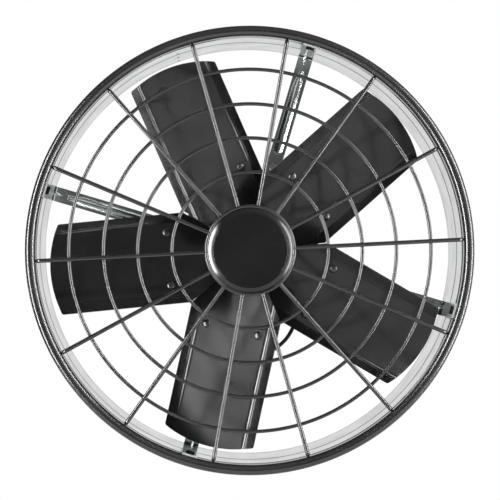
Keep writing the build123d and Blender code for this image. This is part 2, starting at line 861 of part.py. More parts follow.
with BuildPart() as lid_screws:
    for along in (-post_length / 2, post_length / 2):
        for across in (-post_width / 2, post_width / 2):
            seat = rear_plane(box_angle, box_middle + along, across, lid_front + lid_sheet)
            add(pan_screw(seat, lid_sheet + lid_screw_depth - thread_stand_out))
lid_screws.part.label = "lid_screws"
export_step(lid_screws.part, "parts/lid_screws.step")

with BuildPart() as box_screws:
    for place in box_screw_places:
        seat = arm_face(box_angle, place, arm_plane - rib_height)
        add(pan_screw(seat, rib_wall + seat_gap + boss_length + box_screw_depth - seat_gap))
box_screws.part.label = "box_screws"
export_step(box_screws.part, "parts/box_screws.step")

# Run capacitor and terminal block on the box's floor
with BuildPart() as run_capacitor:
    capacitor_y = box_floor + seat_gap + capacitor_radius
    capacitor_end = radial(box_angle) * capacitor_inner + Vector(0, capacitor_y, 0)
    with BuildSketch(Plane(origin=capacitor_end, z_dir=radial(box_angle))):
        Circle(capacitor_radius)
    extrude(amount=capacitor_length)
run_capacitor.part.label = "run_capacitor"
export_step(run_capacitor.part, "parts/run_capacitor.step")

with BuildPart() as terminal_block:
    with BuildSketch(arm_face(box_angle, terminal_block_place, box_floor)):
        Rectangle(terminal_block_size[0], terminal_block_size[1])
    extrude(amount=-terminal_block_size[2])
terminal_block.part.label = "terminal_block"
export_step(terminal_block.part, "parts/terminal_block.step")

# Cable glands
motor_gland = cable_gland(motor_gland_seat, shell_sheet + seat_gap + thread_stand_out)
motor_gland.label = "motor_gland"
export_step(motor_gland, "parts/motor_gland.step")

box_gland = cable_gland(box_gland_seat, box_wall + thread_stand_out)
box_gland.label = "box_gland"
export_step(box_gland, "parts/box_gland.step")

supply_gland = cable_gland(supply_gland_seat, box_wall + thread_stand_out)
supply_gland.label = "supply_gland"
export_step(supply_gland, "parts/supply_gland.step")

# Motor lead: out of the motor's gland, round behind the blades and into the box's gland
gland_length = gland_collar + gland_body
lead_start = motor_gland_seat.origin - radial(lead_angle) * (shell_sheet + lead_inside)
lead_out = motor_gland_seat.origin + radial(lead_angle) * (gland_length + lead_exit)
lead_in = box_gland_seat.origin + tangent(box_angle) * (gland_length + lead_entry)
lead_end = box_gland_seat.origin - tangent(box_angle) * lead_inside
lead_points = [lead_start, lead_out]
lead_points += [Vector(x, lead_y, z) for x, z in lead_route]
lead_points += [lead_in, lead_end]
lead_runs = [b - a for a, b in zip(lead_points, lead_points[1:])]
lead_bends = []
for before, after in zip(lead_runs, lead_runs[1:]):
    half_turn = radians(before.get_angle(after)) / 2
    lead_bends.append(0.45 * min(before.length, after.length) / tan(half_turn))
print("lead bend radii:", [round(bend, 1) for bend in lead_bends])
with BuildPart() as motor_lead:
    with BuildLine():
        lead_path = FilletPolyline(*lead_points, radius=lead_bends)
    with BuildSketch(Plane(origin=lead_path @ 0, z_dir=lead_path % 0)):
        Circle(lead_radius)
    sweep()
motor_lead.part.label = "motor_lead"
export_step(motor_lead.part, "parts/motor_lead.step")
lead_volume = pi * lead_radius**2 * lead_path.length
print("lead volume against section times length:", motor_lead.part.volume / lead_volume)

# Motor shaft: plain journals, with a collar that the fan hub seats against
with BuildPart() as motor_shaft:
    with BuildSketch(Plane.XY):
        with BuildLine():
            Polyline(
                (0, shaft_front),
                (shaft_radius - shaft_chamfer, shaft_front),
                (shaft_radius, shaft_front + shaft_chamfer),
                (shaft_radius, hub_rear),
                (collar_radius, hub_rear),
                (collar_radius, collar_rear),
                (shaft_radius, collar_rear),
                (shaft_radius, shaft_rear - shaft_chamfer),
                (shaft_radius - shaft_chamfer, shaft_rear),
                (0, shaft_rear),
                close=True,
            )
        make_face()
    revolve(axis=Axis.Y)
motor_shaft.part.label = "motor_shaft"
export_step(motor_shaft.part, "parts/motor_shaft.step")

# Rotor core: laminations between two shorting rings
with BuildPart() as rotor_core:
    with BuildSketch(Plane.XY):
        with Locations((hub_bore, core_front)):
            Rectangle(rotor_radius - hub_bore, core_length, align=Align.MIN)
        with Locations((rotor_radius - end_ring_wall, core_front - end_ring_length)):
            Rectangle(
                end_ring_wall - shaft_chamfer,
                core_length + 2 * end_ring_length,
                align=Align.MIN,
            )
    revolve(axis=Axis.Y)
rotor_core.part.label = "rotor_core"
export_step(rotor_core.part, "parts/rotor_core.step")


def rivet_seat(angle, side):
    """Plane on a blade's front face where a rivet's head stands."""
    face = blade_plane(angle)
    place = face.from_local_coords((rivet_place, side * rivet_side, blade_sheet / 2))
    return Plane(origin=place, x_dir=face.x_dir, z_dir=face.z_dir)


def hub_pad(angle):
    """Pitched pad behind one blade, rooted in the wall of the hub."""
    with BuildPart() as pad:
        with BuildSketch(blade_plane(angle).offset(-blade_sheet / 2)):
            Rectangle(3 * pad_reach, 3 * pad_reach)
        extrude(amount=-pad_sheet)
        root = hub_radius - hub_wall / 2
        outline = sector_outline(angle, root, pad_reach, pad_half, pad_reach, pad_corner)
        extrude(outline, amount=wheel_room, dir=(0, 1, 0), mode=Mode.INTERSECT)
        for side in (-1, 1):
            with BuildSketch(rivet_seat(angle, side)):
                Circle(rivet_radius)
            extrude(amount=-(blade_sheet + pad_sheet), mode=Mode.SUBTRACT)
    return pad.part


# Fan hub: a cup with a central boss and a pitched pad for each blade
with BuildPart() as fan_hub:
    with BuildSketch(Plane.XY) as hub_profile:
        with BuildLine():
            Polyline(
                (hub_bore, hub_front),
                (hub_radius, hub_front),
                (hub_radius, hub_rear),
                (hub_radius - hub_wall, hub_rear),
                (hub_radius - hub_wall, hub_front + hub_web),
                (hub_boss_radius, hub_front + hub_web),
                (hub_boss_radius, hub_rear),
                (hub_bore, hub_rear),
                close=True,
            )
        make_face()
        front_corner = hub_profile.vertices().sort_by(Axis.X)[-2:].sort_by(Axis.Y)[0]
        fillet(front_corner, radius=hub_edge)
    revolve(axis=Axis.Y)
    for angle in blade_angles:
        add(hub_pad(angle))
fan_hub.part.label = "fan_hub"
export_step(fan_hub.part, "parts/fan_hub.step")


def fan_blade(angle):
    """Sheet blade: a flat panel between two pressed creases, with a flange beyond each."""
    face = blade_plane(angle)
    section = Plane(origin=face.origin, x_dir=face.y_dir, z_dir=face.x_dir)
    bend = radians(flange_angle)
    edge = (panel_half + flange_width * cos(bend), flange_width * sin(bend))
    foot = (panel_half + crease_half, crease_half * tan(bend))
    with BuildPart() as blade:
        with BuildSketch(section):
            with BuildLine():
                FilletPolyline(
                    (-edge[0], -edge[1]),
                    (-foot[0], -foot[1]),
                    (-panel_half, crease_height),
                    (-panel_half + crease_half, 0),
                    (panel_half - crease_half, 0),
                    (panel_half, -crease_height),
                    foot,
                    edge,
                    radius=crease_bend,
                )
            trace(line_width=blade_sheet)
        extrude(amount=blade_tip + blade_half)
        outline = sector_outline(
            angle, blade_root, blade_tip, blade_half, tip_arc, tip_corner
        )
        extrude(outline, amount=wheel_room, dir=(0, 1, 0), mode=Mode.INTERSECT)
        for side in (-1, 1):
            with BuildSketch(rivet_seat(angle, side)):
                Circle(rivet_radius)
            extrude(amount=-blade_sheet, mode=Mode.SUBTRACT)
    return blade.part


for k, angle in enumerate(blade_angles):
    blade = fan_blade(angle)
    blade.label = f"fan_blade_{k + 1}"
    export_step(blade, f"parts/fan_blade_{k + 1}.step")


def rivet(seat):
    """Rivet through a blade and its pad, with a broad domed head in front."""
    grip = blade_sheet + pad_sheet
    with BuildPart() as body:
        with BuildSketch(seat):
            Circle(rivet_head_radius)
        extrude(amount=rivet_head)
        top = body.faces().sort_by(Axis(seat.origin, seat.z_dir))[-1]
        fillet(top.edges(), radius=rivet_dome * rivet_head)
        with BuildSketch(seat):
            Circle(rivet_radius)
        extrude(amount=-grip)
        with BuildSketch(seat.offset(-grip)):
            Circle(rivet_tail_radius)
        extrude(amount=-rivet_tail)
    return body.part


with BuildPart() as blade_rivets:
    for angle in blade_angles:
        for side in (-1, 1):
            add(rivet(rivet_seat(angle, side)))
blade_rivets.part.label = "blade_rivets"
export_step(blade_rivets.part, "parts/blade_rivets.step")

# Washer and nut that hold the hub on the shaft
with BuildPart() as hub_washer:
    with BuildSketch(front_plane(hub_front)):
        Circle(washer_radius)
        Circle(hub_bore, mode=Mode.SUBTRACT)
    extrude(amount=washer_sheet)
hub_washer.part.label = "hub_washer"
export_step(hub_washer.part, "parts/hub_washer.step")

nut_seat = front_plane(hub_front - washer_sheet)
hub_nut = hex_nut(nut_seat, hub_nut_height, shaft_radius, hub_nut_flats)
hub_nut.label = "hub_nut"
export_step(hub_nut, "parts/hub_nut.step")
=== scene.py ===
from math import cos, pi, radians, sin, tan

import bmesh
import bpy
import numpy as np
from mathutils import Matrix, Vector


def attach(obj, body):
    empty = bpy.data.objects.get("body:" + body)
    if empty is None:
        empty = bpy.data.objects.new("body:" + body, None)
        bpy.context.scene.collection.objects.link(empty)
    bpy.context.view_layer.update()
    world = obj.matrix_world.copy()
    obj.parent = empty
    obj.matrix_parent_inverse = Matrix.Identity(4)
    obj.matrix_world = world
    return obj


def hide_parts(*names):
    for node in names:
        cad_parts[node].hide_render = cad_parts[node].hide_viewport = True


# An industrial exhaust fan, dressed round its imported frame. Its axis is Y, its front faces
# -Y, and angles run anticlockwise from +X as seen from the front. Sizes are millimetres.
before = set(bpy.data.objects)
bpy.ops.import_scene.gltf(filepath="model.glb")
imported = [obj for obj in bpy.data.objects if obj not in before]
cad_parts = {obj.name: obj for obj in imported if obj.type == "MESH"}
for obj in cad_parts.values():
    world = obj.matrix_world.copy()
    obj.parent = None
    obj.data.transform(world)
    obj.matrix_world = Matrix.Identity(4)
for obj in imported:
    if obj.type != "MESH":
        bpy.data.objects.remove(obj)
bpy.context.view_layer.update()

# Studio: the camera stands a little left of the fan's axis and below it, 1.9 metres in
# front, and looks at the middle of the rim. Strip lights stand at both sides, the world
# holds softboxes that only gloss and metal mirror, and the backdrop is white.
camera_place = Vector((-0.0423, -1.9097, -0.0147))
camera_target = Vector((-0.0003, -0.0097, 0.0003))
camera = bpy.data.objects.new("camera", bpy.data.cameras.new("camera"))
camera.data.lens = 123.1
camera.data.clip_end = 20
camera.location = camera_place
camera.rotation_mode = "QUATERNION"
camera.rotation_quaternion = (camera_target - camera_place).to_track_quat("-Z", "Y")
bpy.context.collection.objects.link(camera)
bpy.context.scene.camera = camera
bpy.context.scene.view_settings.view_transform = "Standard"


def strip_light(name, off_axis, turn, distance, width, height, radiance):
    """Upright area light that faces the fan, at an angle off its axis and a turn round it."""
    lamp = bpy.data.lights.new(name, "AREA")
    lamp.shape = "RECTANGLE"
    lamp.size = width
    lamp.size_y = height
    lamp.energy = radiance * pi * width * height
    light = bpy.data.objects.new(name, lamp)
    side = sin(radians(off_axis)) * distance
    ahead = cos(radians(off_axis)) * distance
    light.location = (side * cos(radians(turn)), -ahead, side * sin(radians(turn)))
    light.rotation_mode = "QUATERNION"
    light.rotation_quaternion = (-light.location).to_track_quat("-Z", "Z")
    light.visible_camera = False
    light.visible_glossy = False
    bpy.context.collection.objects.link(light)


strip_light("left_light", 59, 186, 1.8, 0.4, 2.9, 5.0)
strip_light("right_light", 67, 3, 1.8, 0.4, 2.5, 5.0)

ambient_level = 0.42
camera_side_level = 0.09
room_level = 0.4
room_lean = 0.36
room_turn = -20.0
rear_room_level = 0.12
backdrop_level = 1.0
camera_shade = (0.98, 0.94)
low_turn = 270.0
low_shade = (0.4, 0.7, 1.0, 0.55)
room_fade = (-0.35, 0.05)
backdrop_edge = (-0.8, -0.93)
softbox_edge = 0.05
world = bpy.data.worlds.new("studio")
bpy.context.scene.world = world
world.use_nodes = True
nodes = world.node_tree.nodes
links = world.node_tree.links
nodes.clear()


def worked(operation, first, second):
    """One step of arithmetic on two of the world's values, either of which may be a number."""
    step = nodes.new("ShaderNodeMath")
    step.operation = operation
    for socket, value in zip(step.inputs, (first, second)):
        if isinstance(value, float):
            socket.default_value = value
        else:
            links.new(value, socket)
    return step.outputs[0]


def ramped(value, start, end, low=0.0, high=1.0):
    """Runs smoothly from low to high while a value of the world goes from start to end."""
    span = nodes.new("ShaderNodeMapRange")
    span.interpolation_type = "SMOOTHSTEP"
    for socket, number in (("From Min", start), ("From Max", end), ("To Min", low), ("To Max", high)):
        span.inputs[socket].default_value = number
    links.new(value, span.inputs["Value"])
    return span.outputs[0]


def lean(turn):
    """How far a direction leans from the axis towards this turn round it."""
    product = nodes.new("ShaderNodeVectorMath")
    product.operation = "DOT_PRODUCT"
    product.inputs[1].default_value = (cos(radians(turn)), 0, sin(radians(turn)))
    links.new(direction.outputs["Generated"], product.inputs[0])
    return product.outputs["Value"]


def softbox(turn, half_spread, near, far, radiance, soft=0.03):
    """Curved strip of light that only shines in glossy paint and metal: it lies between two
    angles off the axis, and reaches this half spread to both sides of its turn."""
    inside = worked(
        "MULTIPLY",
        ramped(frontal, cos(radians(far)) - soft, cos(radians(far)) + soft),
        ramped(frontal, cos(radians(near)) + soft, cos(radians(near)) - soft),
    )
    edge = sin(radians((near + far) / 2)) * cos(radians(half_spread))
    across = ramped(lean(turn), edge - softbox_edge, edge + softbox_edge)
    return worked("MULTIPLY", worked("MULTIPLY", inside, across), radiance)


direction = nodes.new("ShaderNodeTexCoord")
frontal = lean(0.0)
frontal.node.inputs[1].default_value = (0, -1, 0)
# The room in front is brighter towards its turn, dark round the camera and dimmer below
room = worked("ADD", room_level, worked("MULTIPLY", lean(room_turn), room_lean))
room = worked("MULTIPLY", room, ramped(frontal, *camera_shade))
room = worked("MULTIPLY", room, ramped(lean(low_turn), *low_shade))
room = worked("MAXIMUM", room, camera_side_level)
room = worked("MULTIPLY", room, ramped(frontal, *room_fade))
# Behind the fan it is dim as far as the white backdrop straight behind
rear = ramped(frontal, *backdrop_edge, rear_room_level, backdrop_level)
mirrored_level = worked("ADD", room, worked("MULTIPLY", rear, ramped(frontal, *room_fade[::-1])))
for box in (
    softbox(186.0, 40.0, 55.0, 65.0, 30.0),
    softbox(4.0, 38.0, 63.0, 70.0, 31.0),
    softbox(0.0, 40.0, 82.0, 94.0, 4.0),
    softbox(350.0, 50.0, 14.0, 52.0, 0.5),
    softbox(262.0, 34.0, 14.0, 48.0, 0.5),
    softbox(258.0, 26.0, 56.0, 85.0, 0.9),
):
    mirrored_level = worked("ADD", mirrored_level, box)
path = nodes.new("ShaderNodeLightPath")
mirrored = worked("MAXIMUM", path.outputs["Is Glossy Ray"], path.outputs["Is Transmission Ray"])
seen = nodes.new("ShaderNodeMix")
seen.inputs["A"].default_value = ambient_level
links.new(mirrored, seen.inputs["Factor"])
links.new(mirrored_level, seen.inputs["B"])
level = nodes.new("ShaderNodeMix")
level.inputs["B"].default_value = 1.0
links.new(path.outputs["Is Camera Ray"], level.inputs["Factor"])
links.new(seen.outputs["Result"], level.inputs["A"])
background = nodes.new("ShaderNodeBackground")
background.inputs["Color"].default_value = (1, 1, 1, 1)
links.new(level.outputs["Result"], background.inputs["Strength"])
output = nodes.new("ShaderNodeOutputWorld")
links.new(background.outputs[0], output.inputs[0])

# Floor: a plain pale disc well below the fan, which hangs on a wall. It fades to the
# backdrop's white towards its edge.
floor_height = -1.1
floor_radius = 2.0
floor_fade = 0.9
floor_sides = 96
floor_mesh = bpy.data.meshes.new("floor")
floor_turn = np.linspace(0, 2 * pi, floor_sides, endpoint=False)
floor_edge = np.stack(
    [floor_radius * np.cos(floor_turn), floor_radius * np.sin(floor_turn), 0 * floor_turn + floor_height],
    axis=1,
)
floor_mesh.from_pydata(floor_edge.tolist(), [], [list(range(floor_sides))])
floor = bpy.data.objects.new("floor", floor_mesh)
bpy.context.collection.objects.link(floor)
floor_finish = bpy.data.materials.new("pale_floor")
floor_finish.use_nodes = True
nodes = floor_finish.node_tree.nodes
links = floor_finish.node_tree.links
nodes.clear()
place = nodes.new("ShaderNodeTexCoord")
distance = nodes.new("ShaderNodeVectorMath")
distance.operation = "LENGTH"
links.new(place.outputs["Object"], distance.inputs[0])
fade = nodes.new("ShaderNodeMapRange")
fade.interpolation_type = "SMOOTHSTEP"
fade.inputs["From Min"].default_value = floor_fade
fade.inputs["From Max"].default_value = floor_radius
links.new(distance.outputs["Value"], fade.inputs["Value"])
pale = nodes.new("ShaderNodeBsdfDiffuse")
pale.inputs["Color"].default_value = (0.86, 0.86, 0.86, 1)
white = nodes.new("ShaderNodeEmission")
mixed = nodes.new("ShaderNodeMixShader")
links.new(fade.outputs[0], mixed.inputs[0])
links.new(pale.outputs[0], mixed.inputs[1])
links.new(white.outputs[0], mixed.inputs[2])
output = nodes.new("ShaderNodeOutputMaterial")
links.new(mixed.outputs[0], output.inputs[0])
floor_mesh.materials.append(floor_finish)

# Sleeve: bright zinc-coated sheet rolled into a duct, with two beads pressed inwards, a
# hemmed rear edge, and a lap seam held by three spot welds.
sleeve_inner = 240.5
sleeve_sheet = 1.0
sleeve_front = -9.4
sleeve_rear = 132.0
bead_width = 9.0
bead_flat = 0.18
bead_round = 2.0
beads = ((17.0, 1.0), (64.0, 0.6))
hem_length = 8.0
hem_slope = 2.0
hem_step = 0.25
seam_angle = 110.0
seam_welds = (55.0, 88.0, 121.0)
weld_radius = 2.2
weld_rise = 0.5


def shell(name, grids, body, finish, crease=35):
    """Makes one mesh of the object from grids of points, and lets it ride on a body.

    Each grid is points, wrap_rows, wrap_columns: every four neighbouring points make a face,
    and a wrapped direction closes on its first line. Doubles are merged, faces are turned
    outwards, and an edge that bends more than the crease angle stays sharp.
    """
    places, faces, start = [], [], 0
    for points, wrap_rows, wrap_columns in grids:
        rows, columns = points.shape[:2]
        index = np.arange(rows * columns).reshape(rows, columns) + start
        if wrap_rows:
            index = np.vstack([index, index[:1]])
        if wrap_columns:
            index = np.hstack([index, index[:, :1]])
        corners = [index[:-1, :-1], index[1:, :-1], index[1:, 1:], index[:-1, 1:]]
        faces.append(np.stack(corners, axis=-1).reshape(-1, 4))
        places.append(points.reshape(-1, 3))
        start += rows * columns
    mesh = bpy.data.meshes.new(name)
    mesh.from_pydata((np.concatenate(places) * 0.001).tolist(), [], np.concatenate(faces).tolist())
    merged = bmesh.new()
    merged.from_mesh(mesh)
    bmesh.ops.remove_doubles(merged, verts=merged.verts, dist=2e-6)
    bmesh.ops.recalc_face_normals(merged, faces=merged.faces)
    merged.to_mesh(mesh)
    merged.free()
    mesh.shade_smooth()
    mesh.set_sharp_from_angle(angle=radians(crease))
    mesh.materials.append(finish)
    piece = bpy.data.objects.new(name, mesh)
    bpy.context.collection.objects.link(piece)
    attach(piece, body)
    return piece


def rounded(corners, radius, steps=5, closed=True):
    """Rounds each corner of a line in the plane by an arc of that radius.

    The arc touches both sides at radius / tan(half the corner's angle) from the corner, and
    its points turn evenly from one touching point to the other.
    """
    here = np.array(corners, float)
    radius = np.broadcast_to(np.array(radius, float), len(here))[:, None]
    back = np.roll(here, 1, axis=0) - here
    ahead = np.roll(here, -1, axis=0) - here
    back_length = np.linalg.norm(back, axis=1, keepdims=True)
    ahead_length = np.linalg.norm(ahead, axis=1, keepdims=True)
    back, ahead = back / back_length, ahead / ahead_length
    half = np.arccos(np.clip(np.sum(back * ahead, axis=1, keepdims=True), -1, 1)) / 2
    reach = np.minimum(radius / np.tan(half), 0.49 * np.minimum(back_length, ahead_length))
    turn = pi - 2 * half
    share = np.linspace(0, 1, steps)[None, :, None]
    arc_radius = (reach * np.tan(half))[:, None, :]
    middle = (back + ahead) / np.linalg.norm(back + ahead, axis=1, keepdims=True)
    centre = here + middle * reach / np.cos(half)
    start = (here + back * reach - centre)[:, None, :]
    end = (here + ahead * reach - centre)[:, None, :]
    turn = turn[:, None, :]
    arcs = (np.sin((1 - share) * turn) * start + np.sin(share * turn) * end) / np.sin(turn)
    arcs = np.where(arc_radius > 1e-6, centre[:, None, :] + arcs, here[:, None, :])
    if not closed:
        arcs[0], arcs[-1] = here[0], here[-1]
    return arcs.reshape(-1, 2)


def lathe(profile, steps=360):
    """Carries a closed profile of (radius, depth) round the axis: x and z are the radius
    times the cosine and sine of the turn."""
    turn = np.linspace(0, 2 * pi, steps, endpoint=False)[None, :]
    radius, depth = profile[:, :1], profile[:, 1:]
    points = np.stack([radius * np.cos(turn), depth + 0 * turn, radius * np.sin(turn)], axis=-1)
    return points, True, True


def placed(points, origin, across, outwards):
    """Stands local points on a seat: x runs across, z outwards, and y square to both."""
    across, outwards = np.array(across, float), np.array(outwards, float)
    side = np.cross(outwards, across)
    return np.array(origin) + points @ np.stack([across, side, outwards])


def radial(angle):
    """Unit vector away from the axis at this angle."""
    return np.array([cos(radians(angle)), 0.0, sin(radians(angle))])


def tangent(angle):
    """Unit vector across that direction, anticlockwise as seen from the front."""
    return np.array([-sin(radians(angle)), 0.0, cos(radians(angle))])


def turned(profile, steps=48):
    """Carries a profile of (radius, height) round the local z axis, as a closed form."""
    turn = np.linspace(0, 2 * pi, steps, endpoint=False)[None, :]
    radius, height = profile[:, :1], profile[:, 1:]
    return np.stack([radius * np.cos(turn), radius * np.sin(turn), height + 0 * turn], axis=-1)


def surface(name, colour, metallic, roughness, specular=0.5, coat=0.0, coat_roughness=0.1):
    """Starts a material: its shader, with the constants set, and its object coordinates."""
    finish = bpy.data.materials.new(name)
    finish.use_nodes = True
    tree = finish.node_tree
    shader = tree.nodes["Principled BSDF"]
    shader.inputs["Base Color"].default_value = (*colour, 1)
    shader.inputs["Metallic"].default_value = metallic
    shader.inputs["Roughness"].default_value = roughness
    shader.inputs["Specular IOR Level"].default_value = specular
    shader.inputs["Coat Weight"].default_value = coat
    shader.inputs["Coat Roughness"].default_value = coat_roughness
    coordinates = tree.nodes.new("ShaderNodeTexCoord")
    return finish, tree, shader, coordinates.outputs["Object"]


def noise(tree, place, scale, detail=3.0, stretch=(1, 1, 1)):
    """Noise of this scale per metre, drawn out along an axis where its stretch is small."""
    mapping = tree.nodes.new("ShaderNodeMapping")
    mapping.inputs["Scale"].default_value = stretch
    tree.links.new(place, mapping.inputs["Vector"])
    texture = tree.nodes.new("ShaderNodeTexNoise")
    texture.inputs["Scale"].default_value = scale
    texture.inputs["Detail"].default_value = detail
    tree.links.new(mapping.outputs[0], texture.inputs["Vector"])
    return texture.outputs["Fac"]


def spread(tree, value, low, high, start=0.3, end=0.7):
    """Maps a texture's value between start and end to the range from low to high."""
    span = tree.nodes.new("ShaderNodeMapRange")
    span.inputs["From Min"].default_value = start
    span.inputs["From Max"].default_value = end
    span.inputs["To Min"].default_value = low
    span.inputs["To Max"].default_value = high
    tree.links.new(value, span.inputs["Value"])
    return span.outputs[0]


def tint(tree, value, dark, light, start=0.3, end=0.7):
    """Runs a texture's value from one colour to another."""
    ramp = tree.nodes.new("ShaderNodeValToRGB")
    ramp.color_ramp.elements[0].position = start
    ramp.color_ramp.elements[1].position = end
    ramp.color_ramp.elements[0].color = (*dark, 1)
    ramp.color_ramp.elements[1].color = (*light, 1)
    tree.links.new(value, ramp.inputs[0])
    return ramp.outputs["Color"]


def relief(tree, shader, value, height, strength=1.0):
    """Raises the surface by a texture's value times this height in metres."""
    bump = tree.nodes.new("ShaderNodeBump")
    bump.inputs["Distance"].default_value = height
    bump.inputs["Strength"].default_value = strength
    tree.links.new(value, bump.inputs["Height"])
    tree.links.new(bump.outputs["Normal"], shader.inputs["Normal"])


def zinc(name, dark, light, roughness, crystal=150.0, grain=900.0, grain_height=0.00002):
    """Zinc coating: crystals of slightly different grey, a fine grain and dull patches."""
    finish, tree, shader, place = surface(name, light, 1.0, roughness)
    crystals = tree.nodes.new("ShaderNodeTexVoronoi")
    crystals.inputs["Scale"].default_value = crystal
    tree.links.new(place, crystals.inputs["Vector"])
    grey = tree.nodes.new("ShaderNodeSeparateXYZ")
    tree.links.new(crystals.outputs["Color"], grey.inputs[0])
    patches = noise(tree, place, 30.0, 4.0)
    both = tree.nodes.new("ShaderNodeMath")
    both.operation = "MULTIPLY_ADD"
    both.inputs[1].default_value = 0.35
    tree.links.new(grey.outputs["X"], both.inputs[0])
    tree.links.new(patches, both.inputs[2])
    tree.links.new(tint(tree, both.outputs[0], dark, light, 0.4, 0.95), shader.inputs["Base Color"])
    tree.links.new(
        spread(tree, patches, roughness * 0.75, roughness * 1.35), shader.inputs["Roughness"]
    )
    relief(tree, shader, noise(tree, place, grain), grain_height, 0.6)
    return finish


def disc_spot(radius, height):
    """Low dome: its radius falls by the cosine and its height rises by the sine."""
    rise = np.linspace(0, pi / 2, 7)
    profile = np.stack([radius * np.cos(rise), height * np.sin(rise)], axis=1)
    return turned(np.vstack([[0, -height], [radius, -height], profile]))


sleeve_corners, sleeve_rounding = [(sleeve_inner, sleeve_front)], [0.2]
for bead, rise in beads:
    for along, height in ((-0.5, 0), (-bead_flat, rise), (bead_flat, rise), (0.5, 0)):
        sleeve_corners.append((sleeve_inner - height, bead + along * bead_width))
        sleeve_rounding.append(bead_round)
sleeve_corners.append((sleeve_inner, sleeve_rear - hem_length))
sleeve_corners.append((sleeve_inner - hem_step, sleeve_rear - hem_length + hem_slope))
sleeve_corners.append((sleeve_inner - hem_step, sleeve_rear))
sleeve_corners.append((sleeve_inner + sleeve_sheet, sleeve_rear))
sleeve_rounding += [1.5, 1.5, 0.9, 0.9]
for bead, rise in reversed(beads):
    for along, height in ((0.5, 0), (bead_flat, rise), (-bead_flat, rise), (-0.5, 0)):
        sleeve_corners.append((sleeve_inner + sleeve_sheet - height, bead + along * bead_width))
        sleeve_rounding.append(bead_round)
sleeve_corners.append((sleeve_inner + sleeve_sheet, sleeve_front))
sleeve_rounding.append(0.2)
sleeve_zinc = zinc("sleeve_zinc", (0.46, 0.465, 0.475), (0.51, 0.515, 0.525), 0.2, 40.0)
# Streaks of the rolling, drawn out round the sleeve, take the place of the zinc's grain
tree = sleeve_zinc.node_tree
place = tree.nodes["Texture Coordinate"].outputs["Object"]
streaks = noise(tree, place, 500.0, 4.0, (0.03, 1, 0.03))
relief(tree, tree.nodes["Principled BSDF"], streaks, 0.00002)
sleeve_grids = [lathe(rounded(sleeve_corners, sleeve_rounding))]
for depth in seam_welds:
    seat = radial(seam_angle) * sleeve_inner + (0, depth, 0)
    spot = placed(disc_spot(weld_radius, weld_rise), seat, (0, 1, 0), -radial(seam_angle))
    sleeve_grids.append((spot, False, True))
sleeve = shell("duct_sleeve", sleeve_grids, "frame", sleeve_zinc)
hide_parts("sleeve")

# Front rim: a half-round bead rolled from black enamelled sheet. It straddles the sleeve's
# front edge, its outer edge turns in to meet the wall, and its inner edge is hemmed.
rim_outer = 250.0
rim_bead = 5.8
rim_leg = 9.2
rim_sheet = 1.0
rim_flange = 3.0
rim_hem = 7.5


def enamel(name, colour, roughness, specular, ior, peel, peel_scale):
    """Baked black paint: a faint skin of orange peel and slight unevenness of gloss."""
    finish, tree, shader, place = surface(name, colour, 0.0, roughness, specular)
    shader.inputs["IOR"].default_value = ior
    cloud = noise(tree, place, 18.0, 5.0)
    dark = tuple(c * 0.8 for c in colour)
    light = tuple(c * 1.25 for c in colour)
    tree.links.new(tint(tree, cloud, dark, light), shader.inputs["Base Color"])
    gloss = spread(tree, cloud, roughness * 0.85, roughness * 1.2)
    tree.links.new(gloss, shader.inputs["Roughness"])
    relief(tree, shader, noise(tree, place, peel_scale, 2.0), peel)
    return finish


def half_round(radius, centre, steps=25):
    """Half circle of this radius in front of its centre, from its outer to its inner side."""
    turn = np.linspace(0, pi, steps)
    return np.stack([centre[0] + radius * np.cos(turn), centre[1] - radius * np.sin(turn)], axis=1)


rim_middle = rim_outer - rim_bead
rim_inner = rim_outer - 2 * rim_bead
rim_back = rounded(
    [
        (rim_inner, -rim_hem),
        (rim_inner, 0),
        (rim_inner + 2 * rim_sheet, 0),
        (rim_inner + 2 * rim_sheet, -rim_hem),
        (rim_inner + rim_sheet, -rim_hem),
    ],
    [0, 0.8, 0.8, 0.4, 0],
    closed=False,
)
rim_turned_edge = rounded(
    [
        (rim_outer - rim_sheet, -rim_leg),
        (rim_outer - rim_sheet, -rim_sheet),
        (rim_outer - rim_flange, -rim_sheet),
        (rim_outer - rim_flange, 0),
        (rim_outer, 0),
        (rim_outer, -rim_leg),
    ],
    [0, 0.2, 0.3, 0.3, 0.7, 0],
    closed=False,
)
rim_profile = np.vstack(
    [
        half_round(rim_bead, (rim_middle, -rim_leg)),
        rim_back,
        half_round(rim_bead - rim_sheet, (rim_middle, -rim_leg))[::-1],
        rim_turned_edge,
    ]
)
rim_black = enamel("rim_black_enamel", (0.022, 0.022, 0.023), 0.22, 1.0, 1.5, 0.000004, 300.0)
rim = shell("black_rim", [lathe(rim_profile, 480)], "frame", rim_black)
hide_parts("front_rim")

# Support arms: zinc-plated strip bent at the wall, with a dart pressed across the bend and
# a rib pressed backwards along the limb. Each is bolted to the wall of the sleeve.
arm_count = 4
first_arm = 73.5
arm_width = 17.0
arm_sheet = 2.0
arm_bend = 4.0
arm_plane = 86.5
seat_gap = 0.1
foot_outer = rim_inner - 2 * seat_gap
foot_front = -11.0
arm_inner_end = 92.0
arm_corner = 4.0
rib_width = 11.0
rib_height = 2.2
rib_tip = 2.5
rib_start = 118.0
box_rib_start = 172.0
rib_end = 219.0
rib_run_out = 20.0
dart_leg = 8.0
dart_half = 3.4


def plate(front, back):
    """Closed sheet between two grids of points: both faces and the four strips round them."""
    return [
        (front, False, False),
        (back, False, False),
        (np.stack([front[0], back[0]]), False, False),
        (np.stack([front[-1], back[-1]]), False, False),
        (np.stack([front[:, 0], back[:, 0]]), False, False),
        (np.stack([front[:, -1], back[:, -1]]), False, False),
    ]


def smooth(value, start, end):
    """Rises from 0 to 1 between start and end with no corner at either."""
    share = np.clip((value - start) / (end - start), 0, 1)
    return share * share * (3 - 2 * share)


